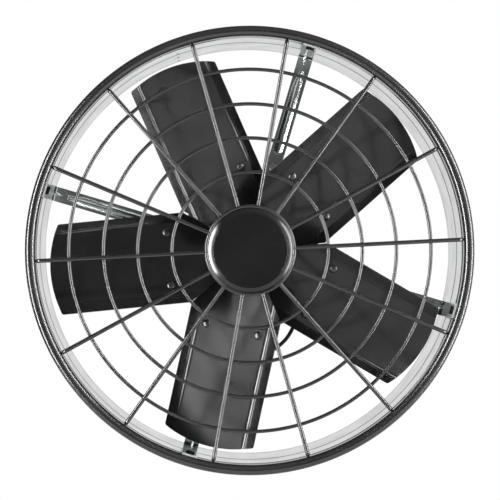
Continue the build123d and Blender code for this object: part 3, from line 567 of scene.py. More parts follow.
def spaced(line, step):
    """Points at an even step along a line in the plane, with its ends kept."""
    run = np.concatenate([[0], np.cumsum(np.linalg.norm(np.diff(line, axis=0), axis=1))])
    place = np.linspace(0, run[-1], int(run[-1] / step) + 1)
    return np.stack([np.interp(place, run, line[:, k]) for k in (0, 1)], axis=1)


def side_normals(line):
    """Unit normals of a line in the plane, a quarter turn to its left."""
    along = np.gradient(line, axis=0)
    along /= np.linalg.norm(along, axis=1, keepdims=True)
    return np.stack([-along[:, 1], along[:, 0]], axis=1)


def arm_grids(angle, start, along_step=0.6, across_count=41):
    """Sheet of one arm: a line in (radius, depth) carried across the strip's width.

    The limb's points sink towards the rear by the rib's height, which fades over its
    sloping sides, its round inner end and its tapered outer end. Across the bend the points
    move to a straight chord, more the nearer they are to the strip's middle.
    """
    middle_depth = arm_plane + arm_sheet / 2
    middle_foot = foot_outer - arm_sheet / 2
    corner = [(arm_inner_end, middle_depth), (middle_foot, middle_depth), (middle_foot, foot_front)]
    line = spaced(rounded(corner, arm_bend, 12, closed=False), along_step)
    across = np.linspace(-1, 1, across_count)[None, :]
    radius = line[:, :1]
    end_gap = np.clip((arm_inner_end + arm_corner - radius) / arm_corner, 0, 1)
    half_width = arm_width / 2 - arm_corner * (1 - np.sqrt(1 - end_gap**2))
    sideways = across * half_width
    # Depth of the rib in the strip, from the distance to its side
    limb = smooth(middle_foot - arm_bend - radius, -1, 0) * (line[:, 1:] > middle_depth - 0.1)
    taper = smooth(rib_end - radius, 0, rib_run_out)
    start_gap = np.clip((start + rib_width / 2 - radius) / (rib_width / 2), 0, 1)
    round_end = np.sqrt(np.clip(1 - start_gap**2, 0, 1))
    rib_half = (rib_tip + (rib_width / 2 - rib_tip) * taper) * round_end
    depth_in = np.minimum(rib_half - np.abs(sideways), rib_end - radius)
    share = 1 - np.clip(depth_in / np.maximum(rib_half, 0.1), 0, 1)
    sink = rib_height * (1 - share**2) ** 1.5 * limb
    # Pull towards the dart's chord across the bend
    foot_gap = middle_depth - line[:, 1:]
    limb_gap = middle_foot - radius
    reach = dart_leg + arm_sheet
    missing = np.clip(reach - foot_gap - limb_gap, 0, None)
    missing = missing * (limb_gap < reach) * (foot_gap < reach)
    dart_width = np.maximum(dart_half * missing / reach, 0.05)
    pull = missing / 2 * smooth(dart_width - np.abs(sideways), 0, dart_width)
    normals = side_normals(line)
    sheets = []
    for side in (0.5, -0.5):
        flat_radius = line[:, :1] + normals[:, :1] * arm_sheet * side - pull
        flat_depth = line[:, 1:] + normals[:, 1:] * arm_sheet * side - pull + sink
        sheets.append(
            flat_radius[..., None] * radial(angle)
            + sideways[..., None] * tangent(angle)
            + flat_depth[..., None] * np.array([0, 1, 0])
        )
    return plate(*sheets)


strip_dark, strip_pale = (0.6, 0.64, 0.63), (0.72, 0.76, 0.745)
strip_zinc = zinc("strip_zinc", strip_dark, strip_pale, 0.18, 420.0, 500.0, 0.000006)
# Painted sheen: the foot and the bend are made dull, not metallic, so that lamp light shows them pale in
# place of the reflected light that brightens that zinc, and the limb behind them mirrors as bright metal
tree = strip_zinc.node_tree
depth = tree.nodes.new("ShaderNodeSeparateXYZ")
tree.links.new(tree.nodes["Texture Coordinate"].outputs["Object"], depth.inputs[0])
limb_share = spread(tree, depth.outputs["Y"], 0.05, 1.0, 0.074, 0.082)
tree.links.new(limb_share, tree.nodes["Principled BSDF"].inputs["Metallic"])
arm_angles = [first_arm + k * 360 / arm_count for k in range(arm_count)]
for k, angle in enumerate(arm_angles):
    grids = arm_grids(angle, box_rib_start if k == 2 else rib_start)
    arm = shell(f"strip_arm_{k + 1}", grids, "frame", strip_zinc, 60)
    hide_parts(f"support_arm_{k + 1}")

# Hexagon bolts and nuts: a blackened one holds each arm's foot, the rim and the sleeve
# together, and a zinc-plated one holds each arm's inner end to the motor's bracket.
bolt_radius = 2.5
bolt_flats = 8.0
bolt_head = 3.5
nut_height = 4.0
nut_bore = 2.53
cone_share = 0.475
cone_slope = 0.577
thread_pitch = 0.8
thread_swing = 0.12
thread_out = 1.0
wall_bolt_depth = -5.0
foot_inner = foot_outer - arm_sheet
sleeve_outer = sleeve_inner + sleeve_sheet
bracket_sheet = 2.5
bracket_rear = arm_plane + arm_sheet + bracket_sheet
bracket_bolt_radius = 101.7


def hexagon(flats, steps=72):
    """Distance from the middle to a hexagon's side at even turns, and those turns."""
    turn = np.linspace(0, 2 * pi, steps, endpoint=False)
    return flats / 2 / np.cos((turn + pi / 6) % (pi / 3) - pi / 6), turn


def hex_form(flats, height, bore=0.0, both_ends=False):
    """Hexagon head or nut: each end is cut by a flat cone, so its corners drop in arcs."""
    side, turn = hexagon(flats)
    cone = cone_share * flats
    drop = np.clip(side - cone, 0, None) * cone_slope
    face = np.minimum(side, cone)
    low = drop if both_ends else 0 * drop
    base = face if both_ends else side
    rows = [(bore + 0 * side, 0 * side), (base, 0 * side), (side, low), (side, height - drop)]
    rows += [(face, height + 0 * side), (bore + 0 * side, height + 0 * side)]
    grid = [np.stack([r * np.cos(turn), r * np.sin(turn), h], axis=-1) for r, h in rows]
    return np.stack(grid)


def threaded_shank(radius, length):
    """Bolt's shank: a round bar whose radius swings by a cosine with its thread, and which
    narrows at its end."""
    height = np.linspace(0, length, max(8, int(length / thread_pitch * 6)))
    swing = thread_swing * np.cos(2 * pi * height / thread_pitch)
    profile = np.stack([radius - thread_swing + swing, height], axis=1)
    profile[-1, 0] = radius * 0.75
    return turned(np.vstack([[0, 0], profile, [0, length]]), 24)


def bolt_grids(origin, across, outwards, grip):
    """Bolt's head on its seat, and its threaded shank through the grip behind it."""
    parts = [hex_form(bolt_flats, bolt_head), threaded_shank(bolt_radius, grip) * (1, 1, -1)]
    return [(placed(part, origin, across, outwards), False, True) for part in parts]


def nut_grid(origin, across, outwards):
    """Nut on its seat, bored for the bolt and cut by a cone at both ends."""
    form = hex_form(bolt_flats, nut_height, nut_bore, True)
    return placed(form, origin, across, outwards), True, True


fastener_zinc = zinc("fastener_zinc", (0.36, 0.38, 0.375), (0.62, 0.64, 0.63), 0.26, 700.0)
bolt_black = zinc("blackened_bolt", (0.03, 0.032, 0.034), (0.06, 0.062, 0.066), 0.32, 700.0)
wall_bolts, wall_nuts, bracket_bolts, bracket_nuts = [], [], [], []
for angle in arm_angles:
    out = radial(angle)
    seat = out * foot_inner + (0, wall_bolt_depth, 0)
    grip = sleeve_outer + nut_height + thread_out - foot_inner
    wall_bolts += bolt_grids(seat, (0, 1, 0), -out, grip)
    seat = out * (sleeve_outer + nut_height) + (0, wall_bolt_depth, 0)
    wall_nuts.append(nut_grid(seat, (0, 1, 0), -out))
    seat = out * bracket_bolt_radius + (0, arm_plane, 0)
    grip = arm_sheet + bracket_sheet + nut_height + thread_out
    bracket_bolts += bolt_grids(seat, out, (0, -1, 0), grip)
    seat = out * bracket_bolt_radius + (0, bracket_rear, 0)
    bracket_nuts.append(nut_grid(seat, out, (0, 1, 0)))
for name, grids, finish in (
    ("wall_bolts", wall_bolts, bolt_black),
    ("wall_nuts", wall_nuts, bolt_black),
    ("bracket_bolts", bracket_bolts, fastener_zinc),
    ("bracket_nuts", bracket_nuts, fastener_zinc),
):
    fastener = shell("hex_" + name, grids, "frame", finish, 25)
    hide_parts(name)

# Motor bracket: a plate of thicker zinc-plated sheet, pressed with an ear for each arm. The
# motor's tie bolts hold it against the front cover.
bracket_zinc = zinc("bracket_zinc", (0.34, 0.36, 0.355), (0.55, 0.58, 0.57), 0.28, 260.0)


def dress(node, finish):
    """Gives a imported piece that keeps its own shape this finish."""
    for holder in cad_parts[node].material_slots:
        holder.material = finish


dress("motor_bracket", bracket_zinc)

# Motor covers: end shields of cast aluminium painted grey-black, each with four lugs for
# the tie bolts and a boss for its bearing. The rear one closes over the shaft's end.
motor_radius = 68.0
motor_wall = 3.0
cover_plate = 5.0
shell_front = bracket_rear + cover_plate
shell_length = 62.0
shell_rear = shell_front + shell_length
motor_rear = shell_rear + cover_plate
spigot_radius = motor_radius - motor_wall - 0.03
spigot_depth = 3.0
spigot_wall = 3.0
boss_radius = 21.0
bearing_seat = 16.03
seat_lip = 2.0
shaft_hole = 7.0
pocket_radius = 9.0
pocket_depth = 3.0
cap_slope = 3.0
front_boss = bracket_rear - 3.0
front_seat = front_boss + 6.0
bearing_width = 10.0
rear_seat = shell_rear - 2.0
bearing_rear = rear_seat + bearing_width
cap_rear = bearing_rear + 6.0
tie_circle = 73.0
lug_radius = 6.5
tie_angles = [angle + 180 / arm_count for angle in arm_angles]


def outline(length, width, corner, steps=8):
    """Rectangle about the origin with its corners rounded by arcs."""
    x, y = length / 2, width / 2
    return rounded([(x, -y), (x, y), (-x, y), (-x, -y)], corner, steps)


def stacked(length, width, corner, rows):
    """Rounded rectangle carried up through rows of (inset, height), where an inset draws it in
    on all sides and None shrinks it to its middle."""
    grid = []
    for inset, height in rows:
        if inset is None:
            line = 0 * outline(length, width, corner)
        else:
            line = outline(length - 2 * inset, width - 2 * inset, max(corner - inset, 0.3))
        grid.append(np.column_stack([line, np.full(len(line), height)]))
    return np.stack(grid)


def lug_grids(front):
    """Round lugs beside a cover, one at each tie bolt, with their edges eased."""
    corners = [(0, 0), (lug_radius, 0), (lug_radius, cover_plate), (0, cover_plate)]
    profile = rounded(corners, [0, 0.8, 0.8, 0])
    seats = [radial(angle) * tie_circle + (0, front, 0) for angle in tie_angles]
    return [(placed(turned(profile), seat, (1, 0, 0), (0, 1, 0)), True, True) for seat in seats]


def cast_paint(name, colour, roughness):
    """Paint over sand-cast metal: a coarse grain under it and dust in its hollows."""
    finish, tree, shader, place = surface(name, colour, 0.0, roughness, 0.5)
    dust = tuple(min(1.0, c * 2.2 + 0.01) for c in colour)
    cloud = noise(tree, place, 60.0, 6.0)
    tree.links.new(tint(tree, cloud, colour, dust, 0.4, 0.8), shader.inputs["Base Color"])
    tree.links.new(spread(tree, cloud, roughness * 0.8, roughness * 1.2), shader.inputs["Roughness"])
    relief(tree, shader, noise(tree, place, 1100.0, 4.0), 0.00008)
    return finish


front_cover_corners = [
    (shaft_hole, front_boss),
    (boss_radius, front_boss),
    (boss_radius, bracket_rear),
    (motor_radius, bracket_rear),
    (motor_radius, shell_front),
    (spigot_radius, shell_front),
    (spigot_radius, shell_front + spigot_depth),
    (spigot_radius - spigot_wall, shell_front + spigot_depth),
    (spigot_radius - spigot_wall, shell_front),
    (boss_radius, shell_front),
    (boss_radius, front_seat + bearing_width + seat_lip),
    (bearing_seat, front_seat + bearing_width + seat_lip),
    (bearing_seat, front_seat),
    (shaft_hole, front_seat),
]
rear_cover_corners = [
    (0, cap_rear),
    (boss_radius - cap_slope, cap_rear),
    (boss_radius, cap_rear - cap_slope),
    (boss_radius, motor_rear),
    (motor_radius, motor_rear),
    (motor_radius, shell_rear),
    (spigot_radius, shell_rear),
    (spigot_radius, shell_rear - spigot_depth),
    (spigot_radius - spigot_wall, shell_rear - spigot_depth),
    (spigot_radius - spigot_wall, shell_rear),
    (boss_radius, shell_rear),
    (boss_radius, rear_seat - seat_lip),
    (bearing_seat, rear_seat - seat_lip),
    (bearing_seat, bearing_rear),
    (pocket_radius, bearing_rear),
    (pocket_radius, bearing_rear + pocket_depth),
    (0, bearing_rear + pocket_depth),
]
rear_rounding = [0, 1.2, 1.2, 1.8, 1.2] + [0.3] * 11 + [0]
cover_rib_count = 8
cover_rib_length = 44.0
cover_rib_middle = 40.0
cover_rib_rows = [(None, -0.5), (0, -0.5), (0, 0), (0.35, 2.5), (0.6, 2.85), (1.0, 3.0), (None, 3.0)]
cover_rib_width = 4.0


def cover_rib_grids():
    """Low ribs cast on the rear cover: rounded bars that point at the axis and narrow upwards."""
    form = stacked(cover_rib_length, cover_rib_width, cover_rib_width / 2 - 0.05, cover_rib_rows)
    grids = []
    for k in range(cover_rib_count):
        out = radial(k * 360 / cover_rib_count)
        seat = out * cover_rib_middle + (0, motor_rear, 0)
        grids.append((placed(form, seat, out, (0, 1, 0)), False, True))
    return grids


cast_black = cast_paint("cast_cover_paint", (0.035, 0.036, 0.038), 0.5)
front_cover = shell(
    "cast_front_cover",
    [lathe(rounded(front_cover_corners, 0.4), 180)] + lug_grids(bracket_rear),
    "frame",
    cast_black,
)
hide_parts("motor_front_cover")
rear_cover = shell(
    "cast_rear_cover",
    [lathe(rounded(rear_cover_corners, rear_rounding), 180)] + lug_grids(shell_rear) + cover_rib_grids(),
    "frame",
    cast_black,
)
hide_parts("motor_rear_cover")

# Motor shell: a tube of black enamelled steel, held between the covers' spigots. The lead's
# gland stands on its side.
shell_corners = [
    (motor_radius, shell_front),
    (motor_radius, shell_rear),
    (motor_radius - motor_wall, shell_rear),
    (motor_radius - motor_wall, shell_front),
]
motor_black = enamel("motor_black_enamel", (0.013, 0.013, 0.014), 0.34, 0.5, 1.5, 0.00002, 500.0)
tube_grids = [lathe(rounded(shell_corners, 0.6), 240)]
motor_tube = shell("motor_tube", tube_grids, "frame", motor_black)
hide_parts("motor_shell")

# Tie bolts and nuts: four long zinc-plated bolts that run past the shell, through the
# bracket and both covers' lugs.
tie_bolt_grids, tie_nut_grids = [], []
for angle in tie_angles:
    out = radial(angle)
    seat = out * tie_circle + (0, arm_plane + arm_sheet, 0)
    grip = motor_rear - arm_plane - arm_sheet + nut_height + thread_out
    tie_bolt_grids += bolt_grids(seat, out, (0, -1, 0), grip)
    tie_nut_grids.append(nut_grid(out * tie_circle + (0, motor_rear, 0), out, (0, 1, 0)))
tie_bolts = shell("motor_tie_bolts", tie_bolt_grids, "frame", fastener_zinc, 25)
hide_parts("tie_bolts")
tie_nuts = shell("motor_tie_nuts", tie_nut_grids, "frame", fastener_zinc, 25)
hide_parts("tie_nuts")

# Stator, rotor, bearings and shaft: stacked electrical steel, lacquered copper windings and
# ground bearing steel, all closed in the motor but for the shaft's front end.
core_steel, tree, shader, place = surface("stacked_steel", (0.34, 0.35, 0.37), 1.0, 0.42)
sheets = noise(tree, place, 40.0, 2.0, (1, 50, 1))
tree.links.new(tint(tree, sheets, (0.2, 0.2, 0.22), (0.42, 0.43, 0.45)), shader.inputs["Base Color"])
relief(tree, shader, sheets, 0.00005)
copper, tree, shader, place = surface("lacquered_copper", (0.62, 0.24, 0.1), 0.9, 0.35, coat=0.6)
strands = noise(tree, place, 260.0, 3.0, (1, 0.25, 1))
tree.links.new(tint(tree, strands, (0.36, 0.12, 0.05), (0.72, 0.32, 0.14)), shader.inputs["Base Color"])
relief(tree, shader, strands, 0.0003)
ground_steel, tree, shader, place = surface("ground_steel", (0.55, 0.56, 0.58), 1.0, 0.2)
scratches = noise(tree, place, 300.0, 2.0, (1, 12, 1))
tree.links.new(spread(tree, scratches, 0.14, 0.3), shader.inputs["Roughness"])
relief(tree, shader, scratches, 0.00001)
for node in ("stator_core", "rotor_core"):
    dress(node, core_steel)
dress("stator_windings", copper)
for node in ("front_bearing", "rear_bearing", "motor_shaft"):
    dress(node, ground_steel)

# Terminal box: an open box moulded in black plastic. Two screws hold it behind the lowest
# arm, and a lid of the same plastic is screwed down at its four corners.
box_angle = arm_angles[2]
box_middle = 141.0
box_length = 56.0
box_width = 40.0
box_depth = 34.0
box_wall = 2.0
box_corner = 4.0
lid_sheet = 2.5


def moulded(name, colour, roughness):
    """Moulded plastic: fine spark-eroded grain and a slight unevenness of gloss."""
    finish, tree, shader, place = surface(name, colour, 0.0, roughness, 0.5)
    cloud = noise(tree, place, 45.0, 4.0)
    tree.links.new(
        tint(tree, cloud, tuple(c * 0.85 for c in colour), tuple(c * 1.2 for c in colour)),
        shader.inputs["Base Color"],
    )
    tree.links.new(spread(tree, cloud, roughness * 0.85, roughness * 1.15), shader.inputs["Roughness"])
    relief(tree, shader, noise(tree, place, 2200.0, 2.0), 0.00003)
    return finish


box_rows = [
    (None, 0),
    (1.0, 0),
    (0.3, 0.3),
    (0.0, 1.0),
    (0.0, box_depth),
    (box_wall, box_depth),
    (box_wall, box_wall + 1),
    (box_wall + 1, box_wall),
    (None, box_wall),
]
lid_rows = [
    (None, 0),
    (0.3, 0),
    (0, 0.3),
    (0, lid_sheet - 1),
    (0.3, lid_sheet - 0.3),
    (1, lid_sheet),
    (None, lid_sheet),
]
box_floor = radial(box_angle) * box_middle + (0, arm_plane + arm_sheet, 0)
lid_seat = box_floor + (0, box_depth, 0)
box_across = radial(box_angle)
box_plastic = moulded("box_plastic", (0.018, 0.018, 0.019), 0.42)
box_form = placed(stacked(box_length, box_width, box_corner, box_rows), box_floor, box_across, (0, 1, 0))
box = shell("moulded_box", [(box_form, False, True)], "frame", box_plastic, 40)
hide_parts("terminal_box")
lid_form = placed(stacked(box_length, box_width, box_corner, lid_rows), lid_seat, box_across, (0, 1, 0))
lid = shell("moulded_lid", [(lid_form, False, True)], "frame", box_plastic, 40)
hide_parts("terminal_box_lid")

# Box screws and lid screws: small cross-headed steel screws, zinc plated. Two go through
# the arm into the box, and four hold the lid.
screw_radius = 2.6
screw_head = 1.8
cross_half = 0.2
cross_reach = 0.62
cross_depth = 0.9
head_sunk = 0.05
screw_shank = 1.2
post_inset = 3.6
lid_screw_length = 11.5
box_screw_places = (125.0, 157.0)
box_screw_length = 3.5


def screw_grids(seat, across, outwards, length, rings=14, steps=72):
    """Pan head: a dome with a cross sunk in it where a point is near either arm of the cross,
    and a plain shank behind it."""
    share = np.concatenate([[0, 0], np.linspace(1, 0, rings)])[:, None]
    turn = np.linspace(0, 2 * pi, steps, endpoint=False)[None, :]
    dome = np.sqrt(1 - (0.96 * share) ** 2)
    x, y = share * np.cos(turn), share * np.sin(turn)
    arm = np.minimum(np.abs(x), np.abs(y))
    cross = smooth(cross_half - arm, 0, 0.08) * smooth(cross_reach - share, 0, 0.1)
    height = screw_head * (0.45 + 0.55 * dome) - cross_depth * cross
    share[0], height[0] = 0, -head_sunk
    share[1], height[1] = 1, -head_sunk
    head = np.stack(
        [screw_radius * share * np.cos(turn), screw_radius * share * np.sin(turn), height], axis=-1
    )
    shank_line = [[0, 0], [screw_shank, 0], [screw_shank, -length + 1], [0, -length]]
    shank = turned(np.array(shank_line), 16)
    return [(placed(part, seat, across, outwards), False, True) for part in (head, shank)]


lid_screw_grids = []
for along in (-1, 1):
    for sideways in (-1, 1):
        seat = lid_seat + (0, lid_sheet, 0)
        seat = seat + radial(box_angle) * along * (box_length / 2 - post_inset)
        seat = seat + tangent(box_angle) * sideways * (box_width / 2 - post_inset)
        lid_screw_grids += screw_grids(seat, box_across, (0, 1, 0), lid_screw_length)
lid_screws = shell("lid_cross_screws", lid_screw_grids, "frame", fastener_zinc, 30)
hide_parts("lid_screws")
box_screw_grids = []
for place in box_screw_places:
    seat = radial(box_angle) * place + (0, arm_plane, 0)
    box_screw_grids += screw_grids(seat, box_across, (0, -1, 0), box_screw_length)
box_screws = shell("box_cross_screws", box_screw_grids, "frame", fastener_zinc, 30)
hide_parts("box_screws")

# Run capacitor and terminal block: grey moulded plastic parts that lie closed in the
# terminal box.
inner_plastic = moulded("inner_plastic", (0.16, 0.17, 0.18), 0.5)
for node in ("run_capacitor", "terminal_block"):
    dress(node, inner_plastic)

# Glands: black plastic collars with a tapered body, pushed into the motor's shell and the
# box's sides. Two carry the motor's lead, and the third waits for the supply.
gland_height = 104.0
gland_collar = (7.0, 2.0)
gland_body = (6.0, 7.0)
gland_draft = tan(radians(8.0))
gland_neck = 4.2
motor_neck = 4.1
box_neck = 3.0
box_gland_place = 125.0
supply_gland_place = 150.0
lead_radius = 2.25
lead_angle = -52.0


def gland_form(neck):
    """Profile of a gland turned round its bore: neck, collar, tapered body and bore."""
    reach = gland_collar[1] + gland_body[1]
    tip = gland_body[0] - gland_body[1] * gland_draft
    corners = [
        (lead_radius + seat_gap, -neck),
        (gland_neck, -neck),
        (gland_neck, 0),
        (gland_collar[0], 0),
        (gland_collar[0], gland_collar[1]),
        (gland_body[0], gland_collar[1]),
        (tip, reach),
        (lead_radius + seat_gap, reach),
    ]
    return turned(rounded(corners, [0.2, 0.3, 0.1, 0.4, 0.5, 0.4, 0.8, 0.3]), 48)


gland_seats = {
    "motor_gland": (radial(lead_angle) * (motor_radius + seat_gap), radial(lead_angle), motor_neck),
    "box_gland": (
        radial(box_angle) * box_gland_place + tangent(box_angle) * box_width / 2,
        tangent(box_angle),
        box_neck,
    ),
    "supply_gland": (
        radial(box_angle) * supply_gland_place - tangent(box_angle) * box_width / 2,
        -tangent(box_angle),
        box_neck,
    ),
}
for node, (seat, facing, neck) in gland_seats.items():
    form = placed(gland_form(neck), seat + (0, gland_height, 0), (0, 1, 0), facing)
    gland = shell("moulded_" + node, [(form, True, True)], "frame", box_plastic, 40)
    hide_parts(node)

# Motor lead: round black cable from the motor's gland to the box's, held at both ends. It
# bows outwards behind the blades on its way.
lead_inside = 6.0
lead_exit = 5.0
lead_entry = 9.0
lead_route = [(54.6, -77.0), (54.0, -88.5), (46.3, -102.3), (36.5, -112.0), (22.0, -121.5)]


def bowed(points, steps=14):
    """Smooth line that touches the middle of each run between the points: at each inner point
    it follows the parabola that starts and ends half way along the runs beside it."""
    starts = (points[:-2] + points[1:-1]) / 2
    ends = (points[1:-1] + points[2:]) / 2
    starts[0], ends[-1] = points[0], points[-1]
    share = np.linspace(0, 1, steps, endpoint=False)[None, :, None]
    middle = points[1:-1, None]
    line = (1 - share) ** 2 * starts[:, None] + 2 * share * (1 - share) * middle
    line = line + share**2 * ends[:, None]
    return np.vstack([line.reshape(-1, 3), points[-1:]])


def tube(line, normal, wire, sides=16):
    """Round bar along a line in space: at each point a circle lies across the line, on the
    line's fixed normal and on the direction square to it. Its ends are flat."""
    along = np.gradient(line, axis=0)
    along /= np.linalg.norm(along, axis=1, keepdims=True)
    side = np.cross(along, normal)
    turn = np.linspace(0, 2 * pi, sides, endpoint=False)[None, :, None]
    bar = line[:, None] + wire * (np.cos(turn) * side[:, None] + np.sin(turn) * np.array(normal))
    caps = [np.broadcast_to(end, (1, sides, 3)) for end in (line[0], line[-1])]
    return np.vstack([caps[0], bar, caps[1]]), False, True


gland_length = gland_collar[1] + gland_body[1]
motor_seat, box_seat = gland_seats["motor_gland"], gland_seats["box_gland"]
lead_points = [
    motor_seat[0] - motor_seat[1] * (motor_wall + lead_inside),
    motor_seat[0] + motor_seat[1] * (gland_length + lead_exit),
    *[np.array([x, 0, z]) for x, z in lead_route],
    box_seat[0] + box_seat[1] * (gland_length + lead_entry),
    box_seat[0] - box_seat[1] * lead_inside,
]
lead_line = bowed(np.array(lead_points)) + (0, gland_height, 0)
lead_jacket = moulded("lead_jacket", (0.02, 0.02, 0.021), 0.38)
lead_grids = [tube(lead_line, (0, 1, 0), lead_radius, 24)]
lead = shell("round_lead", lead_grids, "frame", lead_jacket)
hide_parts("motor_lead")

# Fan hub: a black enamelled steel cup with a central boss and five pitched pads. Each
# blade is riveted to the front of its pad.
blade_count = 5
first_blade = 41.6
blade_pitch = 25.0
blade_depth = 36.0
blade_sheet = 1.2
hub_bore = 6.03
hub_radius = 36.0
hub_wall = 4.0
hub_web = 5.0
hub_boss = 13.0
hub_front = 21.0
hub_rear = 58.0
pad_sheet = 2.5
pad_reach = 115.0
pad_half = 36.0
pad_corner = 8.0
blade_gap = 0.4
half_sector = radians(180 / blade_count)
blade_angles = [first_blade + k * 360 / blade_count for k in range(blade_count)]


def blade_axes(angle):
    """Directions of a pitched blade: outwards, across to its leading edge, and forwards."""
    pitch = radians(blade_pitch)
    forwards = np.array([0, -cos(pitch), 0]) - tangent(angle) * sin(pitch)
    return radial(angle), np.cross(forwards, radial(angle)), forwards


def sector_reach(across, inner, outer, half_width, end_arc, corner):
    """Inner and outer ends of a blade or pad at each place across it, as seen from the front.

    The root is the later of a circle and the wedge between two blades. The end is an arc
    about a point on the middle line, joined to each side by a corner arc.
    """
    side = np.abs(across)
    wedge = blade_gap / sin(half_sector) + side / tan(half_sector)
    root = np.maximum(np.sqrt(np.clip(inner**2 - side**2, 0, None)), wedge)
    centre = outer - end_arc
    corner_side = half_width - corner
    corner_out = centre + np.sqrt((end_arc - corner) ** 2 - corner_side**2)
    touch = corner_side * end_arc / (end_arc - corner)
    arc = centre + np.sqrt(np.clip(end_arc**2 - side**2, 0, None))
    bend = corner_out + np.sqrt(np.clip(corner**2 - (side - corner_side) ** 2, 0, None))
    return root, np.where(side > touch, bend, arc)


def pitched_sheet(angle, section, sheet, outline, rows=40, fine=()):
    """Sheet blade or pad: its section, a line in (across, forwards), carried outwards.

    Both faces lie half the sheet from that line. They are read at the same places across
    the front view, where the outline gives their inner and outer ends, and at some fine places.
    """
    outwards, across, forwards = blade_axes(angle)
    pitch = radians(blade_pitch)
    half_width, corner = outline[2], outline[4]
    bend = np.linspace(0, pi / 2, 9)
    ends = half_width - corner + corner * np.sin(bend)
    inside = np.linspace(-half_width + corner, half_width - corner, 161)
    view = np.unique(np.round(np.concatenate([-ends, inside, fine, ends]), 4))
    root, tip = sector_reach(view, *outline)
    normals = side_normals(section)
    share = np.linspace(0, 1, rows)[:, None]
    reach = root + (tip - root) * share
    faces = []
    for side in (0.5, -0.5):
        line = section + normals * sheet * side
        seen = line[:, 0] * cos(pitch) - line[:, 1] * sin(pitch)
        sideways = np.interp(view, seen, line[:, 0])
        height = np.interp(view, seen, line[:, 1])
        faces.append(
            np.array([0, blade_depth, 0])
            + reach[..., None] * outwards
            + (sideways[:, None] * across + height[:, None] * forwards)[None]
        )
    return plate(*faces)


hub_corners = [
    (hub_bore, hub_front),
    (hub_radius, hub_front),
    (hub_radius, hub_rear),
    (hub_radius - hub_wall, hub_rear),
    (hub_radius - hub_wall, hub_front + hub_web),
    (hub_boss, hub_front + hub_web),
    (hub_boss, hub_rear),
    (hub_bore, hub_rear),
]
hub_grids = [lathe(rounded(hub_corners, [0.5, 2.0, 1.0, 1.0, 1.5, 1.5, 0.8, 0.5]), 180)]
pad_middle = -(blade_sheet + pad_sheet) / 2
pad_section = np.array([[-pad_half * 1.5, pad_middle], [pad_half * 1.5, pad_middle]])
pad_outline = (hub_radius - hub_wall / 2, pad_reach, pad_half, pad_reach, pad_corner)
for angle in blade_angles:
    hub_grids += pitched_sheet(angle, spaced(pad_section, 1.0), pad_sheet, pad_outline, 24)
blade_black = enamel("blade_black_enamel", (0.015, 0.015, 0.016), 0.19, 0.5, 1.5, 0.000006, 500.0)
hub = shell("blade_hub", hub_grids, "fan_wheel", blade_black)
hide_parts("fan_hub")

# Fan blades: five flat panels of black enamelled sheet steel. Two pressed creases stiffen
# each, and a flange runs along both its long edges.
panel_half = 42.6
flange_width = 16.1
flange_angle = 13.5
crease_place = 43.9
crease_span = (-3.5, 5.5)
blade_outline = (42.0, 227.0, 51.5, 124.0, 3.0)
flange_turn = radians(flange_angle)
blade_edge = panel_half + flange_width * cos(flange_turn)
crease_slopes = (
    (-2.6, 0.0),
    (-1.6, -0.2),
    (-0.6, 0.0),
    (0.0, 0.09),
    (1.2, 0.15),
    (1.8, 0.3),
    (2.4, 0.3),
    (3.0, 0.14),
    (3.4, 0.14),
    (4.0, tan(flange_turn)),
)
crease_view = crease_place * cos(radians(blade_pitch)) + np.linspace(*crease_span, 91)
crease_view = np.concatenate([crease_view, -crease_view])


def creased_section(step=0.1):
    """Section of a blade: its height is the running sum of a slope that depends on the place.

    The slope is nil over the panel, dips into the crease's near side, rises up its far side
    and settles to the flange's slope, straight between its listed values. It is the same at
    both edges, so the blade's two creases and flanges bend opposite ways.
    """
    across = np.arange(0, blade_edge + step, step)
    places, slopes = np.array(crease_slopes).T
    slope = np.interp(across - crease_place, places, slopes)
    height = np.concatenate([[0], np.cumsum((slope[1:] + slope[:-1]) / 2 * step)])
    half = np.stack([across, height], axis=1)
    return np.vstack([-half[:0:-1], half])


blade_section = creased_section()
for k, angle in enumerate(blade_angles):
    grids = pitched_sheet(angle, blade_section, blade_sheet, blade_outline, 24, crease_view)
    blade = shell(f"sheet_blade_{k + 1}", grids, "fan_wheel", blade_black, 50)
    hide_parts(f"fan_blade_{k + 1}")

# Blade rivets: two domed steel rivets through each blade and its pad, in the same glossy
# black as the guard.
rivet_place = 92.0
rivet_side = 33.1
rivet_head = (5.0, 2.4)
rivet_tail = (4.0, 1.8)


def rivet_grids(angle, side):
    """Domed head on the blade's front and a low domed tail behind its pad."""
    outwards, across, forwards = blade_axes(angle)
    middle = np.array([0, blade_depth, 0]) + outwards * rivet_place + across * side * rivet_side
    seats = [
        (rivet_head, middle + forwards * blade_sheet / 2, forwards),
        (rivet_tail, middle - forwards * (blade_sheet / 2 + pad_sheet), -forwards),
    ]
    return [
        (placed(disc_spot(radius, height), seat, outwards, facing), False, True)
        for (radius, height), seat, facing in seats
    ]


rivet_grid_list = []
for angle in blade_angles:
    for side in (-1, 1):
        rivet_grid_list += rivet_grids(angle, side)
gloss_black = enamel("gloss_black_enamel", (0.012, 0.012, 0.0125), 0.27, 1.0, 1.6, 0.000005, 300.0)
rivets = shell("domed_rivets", rivet_grid_list, "fan_wheel", gloss_black)
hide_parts("blade_rivets")

